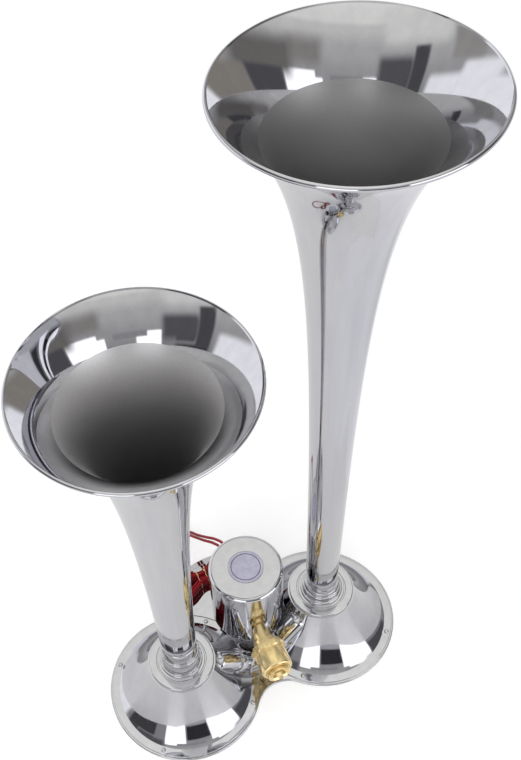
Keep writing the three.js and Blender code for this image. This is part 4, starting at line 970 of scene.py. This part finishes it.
def fitting(brass, place):
    groove_end = BARREL_GROOVE_START + BARREL_GROOVE_WIDTH
    groove_radius = BARREL_RADIUS - BARREL_GROOVE_DEPTH
    corners = [
        (AIRWAY_RADIUS, SPIGOT_START, 0),
        (SPIGOT_RADIUS, SPIGOT_START, SMALL_EDGE),
        (SPIGOT_RADIUS, NECK_START, 0),
        (NECK_RADIUS, NECK_START, SMALL_EDGE),
        (NECK_RADIUS, NECK_END, 0),
        (SHOULDER_RADIUS, NECK_END, SOFT_EDGE),
        (SHOULDER_RADIUS, HEX_START, 0),
        (BARREL_RADIUS, HEX_START, SOFT_EDGE),
        (BARREL_RADIUS, BARREL_GROOVE_START, FINE_EDGE),
        (groove_radius, BARREL_GROOVE_START, FINE_EDGE),
        (groove_radius, groove_end, FINE_EDGE),
        (BARREL_RADIUS, groove_end, FINE_EDGE),
        (BARREL_RADIUS, BARREL_END, BARREL_EDGE),
        (POCKET_RADIUS, BARREL_END, SMALL_EDGE),
        (POCKET_RADIUS, POCKET_FLOOR, 0),
        (SOCKET_RADIUS, POCKET_FLOOR, SMALL_EDGE),
        (SOCKET_RADIUS, SOCKET_FLOOR, 0),
        (AIRWAY_RADIUS, SOCKET_FLOOR, SMALL_EDGE),
    ]
    barrel = turned(filleted(corners), ROUND_SIDES)
    body_piece("inlet_barrel", barrel, [brass], place, "brass", "inlet_fitting")
    body_piece("inlet_hexagon", hexagon(), [brass], place, "brass")


def collet():
    """A slotted ring whose teeth slope in to grip the hose."""
    outer = POCKET_RADIUS - POCKET_FIT
    section = [
        (SOCKET_RADIUS, COLLET_START + SMALL_EDGE),
        (SOCKET_RADIUS + TOOTH_TIP_WIDTH, COLLET_START),
        (outer, COLLET_START),
        (outer, COLLET_END),
        (outer - TOOTH_THICKNESS, COLLET_END),
        (SOCKET_RADIUS, COLLET_START + TOOTH_THICKNESS),
    ]
    maker = bmesh.new()
    up = Vector((0, 0, 1))
    for tooth in range(COLLET_TEETH):
        rings = []
        for step in range(TOOTH_STEPS + 1):
            share = TOOTH_START + TOOTH_SHARE * step / TOOTH_STEPS
            angle = (tooth + share) / COLLET_TEETH * math.tau
            around = Vector((math.cos(angle), math.sin(angle), 0))
            rings.append([maker.verts.new((around * r + up * z) * MM) for r, z in section])
        join_rings(maker, rings)
    return maker


def mouth(brass, place):
    """What the barrel's open end holds: bush, collet and release collar."""
    bush = [
        (BUSH_BORE_RADIUS, BUSH_START, 0),
        (POCKET_RADIUS - POCKET_FIT, BUSH_START, 0),
        (POCKET_RADIUS - POCKET_FIT, BARREL_END, SMALL_EDGE),
        (BUSH_BORE_RADIUS, BARREL_END, SMALL_EDGE),
    ]
    collar = [
        (SOCKET_RADIUS, COLLAR_START, FINE_EDGE),
        (COLLAR_SLEEVE_RADIUS, COLLAR_START, FINE_EDGE),
        (COLLAR_SLEEVE_RADIUS, COLLAR_LIP_START, FINE_EDGE),
        (COLLAR_LIP_RADIUS, COLLAR_LIP_START, SOFT_EDGE),
        (COLLAR_LIP_RADIUS, COLLAR_END, COLLAR_LIP_EDGE),
        (COLLAR_MOUTH_RADIUS, COLLAR_END, SMALL_EDGE),
        (COLLAR_THROAT_RADIUS, COLLAR_LIP_START, COLLAR_MOUTH_FILLET),
        (SOCKET_RADIUS, COLLAR_THROAT_END, COLLAR_THROAT_FILLET),
    ]
    bush_form = turned(filleted(bush), ROUND_SIDES)
    body_piece("mouth_bush_turned", bush_form, [brass], place, "brass", "mouth_bush")
    body_piece("collet_teeth", collet(), [brass], place, "brass", "collet")
    ring = placed("release_collar_turned", turned(filleted(collar), ROUND_SIDES), [brass], place)
    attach(ring, "collar")
    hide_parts("release_collar")


# Air ways


def block(chrome):
    half = BLOCK_WIDTH / 2
    maker = box((-half, BLOCK_FRONT_Y, PLATE_THICKNESS), (half, BLOCK_REAR_Y, BLOCK_TOP_Z))
    middle_z = (BLOCK_TOP_Z + PLATE_THICKNESS) / 2 * MM
    level = [e for e in maker.edges if all(v.co.z > middle_z for v in e.verts)]
    sides = [e for e in level if abs(e.verts[0].co.y - e.verts[1].co.y) > NEAR_ZERO]
    bevel(maker, sides, BLOCK_EDGE, BLOCK_EDGE_STEPS)
    seams = [e for e in maker.edges if len(e.link_faces) == 2]
    bevel(maker, [e for e in seams if e.calc_face_angle(0) > BLOCK_SHARP_ANGLE], BLOCK_SMALL_EDGE)
    body_piece("manifold_block_cast", maker, [chrome], None, "chrome", "manifold_block")


def duct(side, name, chrome):
    start = Vector((side * DUCT_START[0], *DUCT_START[1:]))
    end = Vector((side * DUCT_END[0], *DUCT_END[1:]))
    length = (end - start).length
    place = laid(start, end - start)
    outline = [(0, 0), (DUCT_RADIUS, 0)]
    for step in range(DUCT_END_STEPS):
        angle = step / DUCT_END_STEPS * math.pi / 2
        outline.append((DUCT_RADIUS * math.cos(angle), length + DUCT_END_ROUND * math.sin(angle)))
    outline.append((0, length + DUCT_END_ROUND))
    tube = turned(outline, ROUND_SIDES)
    body_piece(f"{name}_duct_tube", tube, [chrome], place, "chrome", f"{name}_air_duct")
    gland_start = length * GLAND_PLACE_SHARE
    gland_end = gland_start + GLAND_LENGTH
    corners = [
        (DUCT_RADIUS - GLAND_OVERLAP, gland_start, 0),
        (GLAND_RADIUS, gland_start, GLAND_EDGE),
        (GLAND_RADIUS, gland_end, GLAND_EDGE),
        (DUCT_RADIUS - GLAND_OVERLAP, gland_end, 0),
    ]
    gland = turned(filleted(corners), ROUND_SIDES)
    body_piece(f"{name}_gland_ring", gland, [chrome], place, "chrome", f"{name}_duct_gland")


# Red leads


def smooth_route(points, steps):
    """Points of a centripetal Catmull-Rom curve through a route."""
    places = [Vector(p) for p in points]
    padded = [places[0] * 2 - places[1], *places, places[-1] * 2 - places[-2]]
    made = []
    for i in range(1, len(padded) - 2):
        p0, p1, p2, p3 = padded[i - 1 : i + 3]
        d0, d1, d2 = ((b - a).length ** 0.5 for a, b in ((p0, p1), (p1, p2), (p2, p3)))
        out = ((p1 - p0) / d0 - (p2 - p0) / (d0 + d1) + (p2 - p1) / d1) * d1
        into = ((p2 - p1) / d1 - (p3 - p1) / (d1 + d2) + (p3 - p2) / d2) * d1
        for step in range(steps):
            t = step / steps
            made.append(
                p1 * (2 * t**3 - 3 * t**2 + 1)
                + out * (t**3 - 2 * t**2 + t)
                + p2 * (3 * t**2 - 2 * t**3)
                + into * (t**3 - t**2)
            )
    made.append(places[-1])
    return made


def hank_points(bottom_z):
    """Middle line of one hank: in on its lower layer, up along a run and out on the upper layer."""
    start_x, start_y = HANK_START
    centre_y = start_y - HANK_OUTER_BEND
    turn_loop = HANK_LOOPS / 2
    climb_end = turn_loop + HANK_CLIMB_LOOPS
    inner_bend = HANK_OUTER_BEND - HANK_PITCH * turn_loop
    steps = round((HANK_LOOPS + HANK_TAIL_SHARE) * HANK_STEPS_PER_LOOP)
    points = []
    for i in range(steps + 1):
        loop = i / HANK_STEPS_PER_LOOP
        inward = HANK_OUTER_BEND - HANK_PITCH * loop
        outward = inner_bend + HANK_PITCH * max(0, loop - climb_end)
        bend = inward if loop < turn_loop else outward
        climb = min(max((loop - turn_loop) / HANK_CLIMB_LOOPS, 0), 1)
        climb = climb * climb * (3 - 2 * climb)
        quarter = (loop % 1) * 4
        within = quarter % 1
        waist = HANK_WAIST * math.sin(math.pi * within) ** 2
        base = Vector((start_x, centre_y, bottom_z + climb * HANK_PITCH))
        if quarter < 1:
            base += Vector((HANK_RUN_LENGTH * within, bend - waist, 0))
        elif quarter < 2:
            angle = math.pi / 2 - math.pi * within
            base += Vector((HANK_RUN_LENGTH + math.cos(angle) * bend, math.sin(angle) * bend, 0))
        elif quarter < 3:
            base += Vector((HANK_RUN_LENGTH * (1 - within), waist - bend, 0))
        else:
            angle = -math.pi / 2 - math.pi * within
            base += Vector((math.cos(angle) * bend, math.sin(angle) * bend, 0))
        points.append(base)
    return points


def wire_curve(name, points, radius, material):
    curve = bpy.data.curves.new(name, "CURVE")
    curve.dimensions = "3D"
    curve.bevel_depth = radius * MM
    curve.bevel_resolution = WIRE_BEVEL_STEPS
    curve.use_fill_caps = True
    spline = curve.splines.new("POLY")
    spline.points.add(len(points) - 1)
    for place, point in zip(spline.points, points):
        place.co = (*(point * MM), 1)
    curve.materials.append(material)
    return linked(name, curve)


def lead(number, route, insulation):
    bottom_z = PAD_TOP_Z + LEAD_RADIUS + HANK_REST + (number - 1) * 2 * HANK_PITCH
    points = smooth_route(route, LEAD_STEPS_PER_POINT)[:-1] + hank_points(bottom_z)
    piece = wire_curve(f"lead_{number}", points, LEAD_RADIUS, insulation)
    fixed(piece, "red_insulation", f"red_lead_{number}", f"red_lead_{number}_hank")


def hank_tie(number, x, brass):
    """A thin wire wound about both hanks, with its ends twisted together on top."""
    middle = Vector((x, HANK_START[1] - HANK_OUTER_BEND, 0))
    share = (x - HANK_START[0]) / HANK_RUN_LENGTH
    across = HANK_OUTER_BEND - HANK_WAIST * math.sin(math.pi * share) ** 2 + LEAD_RADIUS + TIE_WIRE_RADIUS
    low = PAD_TOP_Z + TIE_WIRE_RADIUS
    high = PAD_TOP_Z + 2 * LEAD_RADIUS + HANK_REST + 3 * HANK_PITCH + TIE_WIRE_RADIUS
    points = []
    steps = TIE_STEPS * TIE_TURNS
    for i in range(steps + 1):
        angle = math.pi / 2 + math.tau * TIE_TURNS * i / steps
        side = TIE_PITCH * TIE_WIRE_RADIUS * TIE_TURNS * (i / steps - 0.5)
        z = (low + high) / 2 + math.sin(angle) * (high - low) / 2
        points.append(middle + Vector((side, math.cos(angle) * across, z)))
    for i in range(1, TIE_TAIL_STEPS * TIE_TAIL_TURNS + 1):
        angle = math.tau * i / TIE_TAIL_STEPS
        away = min(2 * i / TIE_TAIL_STEPS, 1) * TIE_WIRE_RADIUS
        rise = math.sin(angle) * away + TIE_TAIL_RISE * i
        turn = Vector((math.cos(angle) * away, TIE_TAIL_PITCH * i * TIE_WIRE_RADIUS, rise))
        points.append(points[steps] + turn)
    fixed(wire_curve(f"hank_tie_{number}", points, TIE_WIRE_RADIUS, brass), "brass")


def grommet(rubber):
    corners = [
        (0, GROMMET_INNER, 0),
        (GROMMET_RADIUS, GROMMET_INNER, SOFT_EDGE),
        (GROMMET_RADIUS, GROMMET_INNER_END, 0),
        (GROMMET_WAIST_RADIUS, GROMMET_INNER_END, 0),
        (GROMMET_WAIST_RADIUS, GROMMET_OUTER, 0),
        (GROMMET_RADIUS, GROMMET_OUTER, 0),
        (GROMMET_RADIUS, GROMMET_LIP_END, GROMMET_LIP_EDGE),
        (GROMMET_TAIL_RADIUS, GROMMET_LIP_END, GROMMET_LIP_EDGE),
        (GROMMET_TAIL_RADIUS, GROMMET_TAIL_END, GROMMET_TAIL_EDGE),
        (0, GROMMET_TAIL_END, 0),
    ]
    form = turned(filleted(corners), SMALL_SIDES)
    body_piece("lead_boot", form, [rubber], from_valve(GROMMET_Z, 1), "rubber", "lead_grommet")


# Hidden pieces keep their CAD shapes


def dress_hidden(frame, material, *names):
    for name in names:
        materials = frame["nodes"][name].data.materials
        materials.clear()
        materials.append(material)


# Camera, floor and light


def camera():
    data = bpy.data.cameras.new("camera")
    data.sensor_width = SENSOR_WIDTH
    data.sensor_fit = "AUTO"
    data.lens = FOCAL_PIXELS / IMAGE_HEIGHT * SENSOR_WIDTH
    data.shift_x = (IMAGE_WIDTH / 2 - PRINCIPAL_X) / IMAGE_HEIGHT
    data.shift_y = (PRINCIPAL_Y - IMAGE_HEIGHT / 2) / IMAGE_HEIGHT
    data.clip_start = 0.01
    view = linked("camera", data)
    right, down, ahead = (Vector(v) for v in (CAMERA_RIGHT, CAMERA_DOWN, CAMERA_AHEAD))
    turn = Matrix((right, -down, -ahead)).transposed().to_4x4()
    view.matrix_world = Matrix.Translation(CAMERA_PLACE) @ turn
    bpy.context.scene.camera = view


def floor_material():
    """White to the camera and in reflections, while it keeps the horn's soft shadow."""
    look = Surface("pale_floor", Roughness=0.4, Specular_IOR_Level=0.5)
    look.tint(look.noise(scale=40, detail=3), (0.8, 0.8, 0.8), (0.82, 0.82, 0.82))
    path = look.add("ShaderNodeLightPath").outputs
    mirrored = look.math("MULTIPLY", path["Is Glossy Ray"], FLOOR_GLOW_IN_MIRRORS)
    glow = look.math("MULTIPLY_ADD", path["Is Camera Ray"], FLOOR_GLOW, mirrored)
    look.set(Emission_Color=WHITE, Emission_Strength=glow)
    return look.material


def floor():
    maker = box((FLOOR_LEFT, FLOOR_FRONT, -FLOOR_DEPTH), (FLOOR_RIGHT, FLOOR_REAR, 0))
    bevel(maker, maker.edges[:], FLOOR_EDGE)
    placed("table_top", maker, [floor_material()])


def within(nodes, value, span, softness):
    """1 inside a span and 0 outside it, with soft edges."""
    entered, left = (nodes.ranged(value, end - softness, end + softness, shape="SMOOTHSTEP") for end in span)
    return nodes.math("SUBTRACT", entered, left)


def mixed_color(nodes, share, below, above):
    mix = nodes.add("ShaderNodeMix", data_type="RGBA")
    for name, value in (("Factor", share), ("A", below), ("B", above)):
        socket = next(s for s in mix.inputs if s.name == name and s.enabled)
        nodes.give(socket, (*value, 1) if isinstance(value, tuple) else value)
    return next(s for s in mix.outputs if s.enabled)


def room_color(nodes):
    """Colour of the room by direction: plain levels by height, with soft-edged panels before them."""
    place = nodes.add("ShaderNodeTexCoord").outputs["Generated"]
    parts = nodes.add("ShaderNodeSeparateXYZ", Vector=place).outputs
    forward = nodes.math("MULTIPLY", parts["Y"], -1)
    turned_right = nodes.math("ARCTAN2", parts["X"], forward)
    azimuth = nodes.math("MULTIPLY", turned_right, math.degrees(1))
    elevation = nodes.math("MULTIPLY", nodes.math("ARCSINE", parts["Z"]), math.degrees(1))
    color = ROOM_LEVELS[0][1]
    for (low, _), (high, level) in zip(ROOM_LEVELS, ROOM_LEVELS[1:]):
        color = mixed_color(nodes, nodes.ranged(elevation, low, high, shape="SMOOTHSTEP"), color, level)
    for azimuths, elevations, softness, panel in ROOM_PANELS:
        across = within(nodes, azimuth, azimuths, softness)
        up = within(nodes, elevation, elevations, softness)
        color = mixed_color(nodes, nodes.math("MULTIPLY", across, up), color, panel)
    return color


def background(nodes, color, strength=1):
    return nodes.add("ShaderNodeBackground", Color=color, Strength=strength).outputs[0]


def world():
    """Even soft light, white to the camera, and a plain room in reflections."""
    made = bpy.data.worlds.new("studio")
    made.use_nodes = True
    bpy.context.scene.world = made
    nodes = Nodes(made.node_tree)
    nodes.tree.nodes.clear()
    path = nodes.add("ShaderNodeLightPath").outputs
    even = background(nodes, WHITE, EVEN_LIGHT)
    mirrored = background(nodes, room_color(nodes))
    unseen = nodes.add("ShaderNodeMixShader", path["Is Glossy Ray"], even, mirrored).outputs[0]
    white = background(nodes, WHITE)
    seen = nodes.add("ShaderNodeMixShader", path["Is Camera Ray"], unseen, white).outputs[0]
    nodes.add("ShaderNodeOutputWorld", seen)


def lamp():
    data = bpy.data.lights.new("soft_key", "AREA")
    data.shape = "SQUARE"
    data.size = LAMP_SIZE
    data.energy = LAMP_POWER
    light = linked("soft_key", data)
    light.location = LAMP_PLACE
    light.rotation_euler = (Vector(LAMP_TARGET) - Vector(LAMP_PLACE)).to_track_quat("-Z", "Y").to_euler()
    light.visible_camera = False
    light.visible_glossy = False


def main():
    bpy.ops.object.select_all(action="SELECT")
    bpy.ops.object.delete()
    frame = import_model()
    camera()
    chrome = chrome_plate()
    # Each horn's throat has its own painted shade
    left_throat_with_painted_shade = shade_painted_satin_throat("left", LEFT_BELL_Z - LEFT_SATIN_DEPTH, LEFT_SATIN_PAINTED_SHADES)
    right_throat_with_painted_shade = shade_painted_satin_throat("right", RIGHT_BELL_Z - RIGHT_SATIN_DEPTH, RIGHT_SATIN_PAINTED_SHADES)
    metal = cast_metal()
    steel = turned_steel()
    rubber = black_rubber()
    brass = bright_brass()
    insulation = red_insulation()
    grommet(rubber)
    for number, x in enumerate(TIE_PLACES, 1):
        hank_tie(number, x, brass)
    lead(1, RED_LEAD_1_ROUTE, insulation)
    lead(2, RED_LEAD_2_ROUTE, insulation)
    base_plate(chrome)
    valve_pad(chrome)
    left = (LEFT_NUT_TOP_Z, LEFT_BELL_Z, LEFT_FOOT_RADIUS, LEFT_FLARE, LEFT_SATIN_DEPTH)
    right = (RIGHT_NUT_TOP_Z, RIGHT_BELL_Z, RIGHT_FOOT_RADIUS, RIGHT_FLARE, RIGHT_SATIN_DEPTH)
    horn(-1, "left", *left, chrome, left_throat_with_painted_shade)
    horn(1, "right", *right, chrome, right_throat_with_painted_shade)
    valve_body(metal)
    cup(chrome)
    badge(lavender_badge(), badge_ink())
    along_fitting = from_valve(FITTING_Z, -1)
    fitting(brass, along_fitting)
    mouth(brass, along_fitting)
    block(chrome)
    duct(-1, "left", chrome)
    duct(1, "right", chrome)
    dress_hidden(frame, metal, "left_nozzle", "right_nozzle", "left_clamp_ring", "right_clamp_ring")
    dress_hidden(frame, steel, "left_diaphragm", "right_diaphragm", "core_tube", "coil_nut")
    dress_hidden(frame, steel, "plunger", "plunger_spring")
    dress_hidden(frame, rubber, "left_gasket", "right_gasket", "coil_bobbin", "valve_disc", "inlet_seal")
    dress_hidden(frame, copper_wire(), "coil_winding")
    floor()
    world()
    lamp()
    bpy.context.scene.view_settings.view_transform = "Standard"


main()
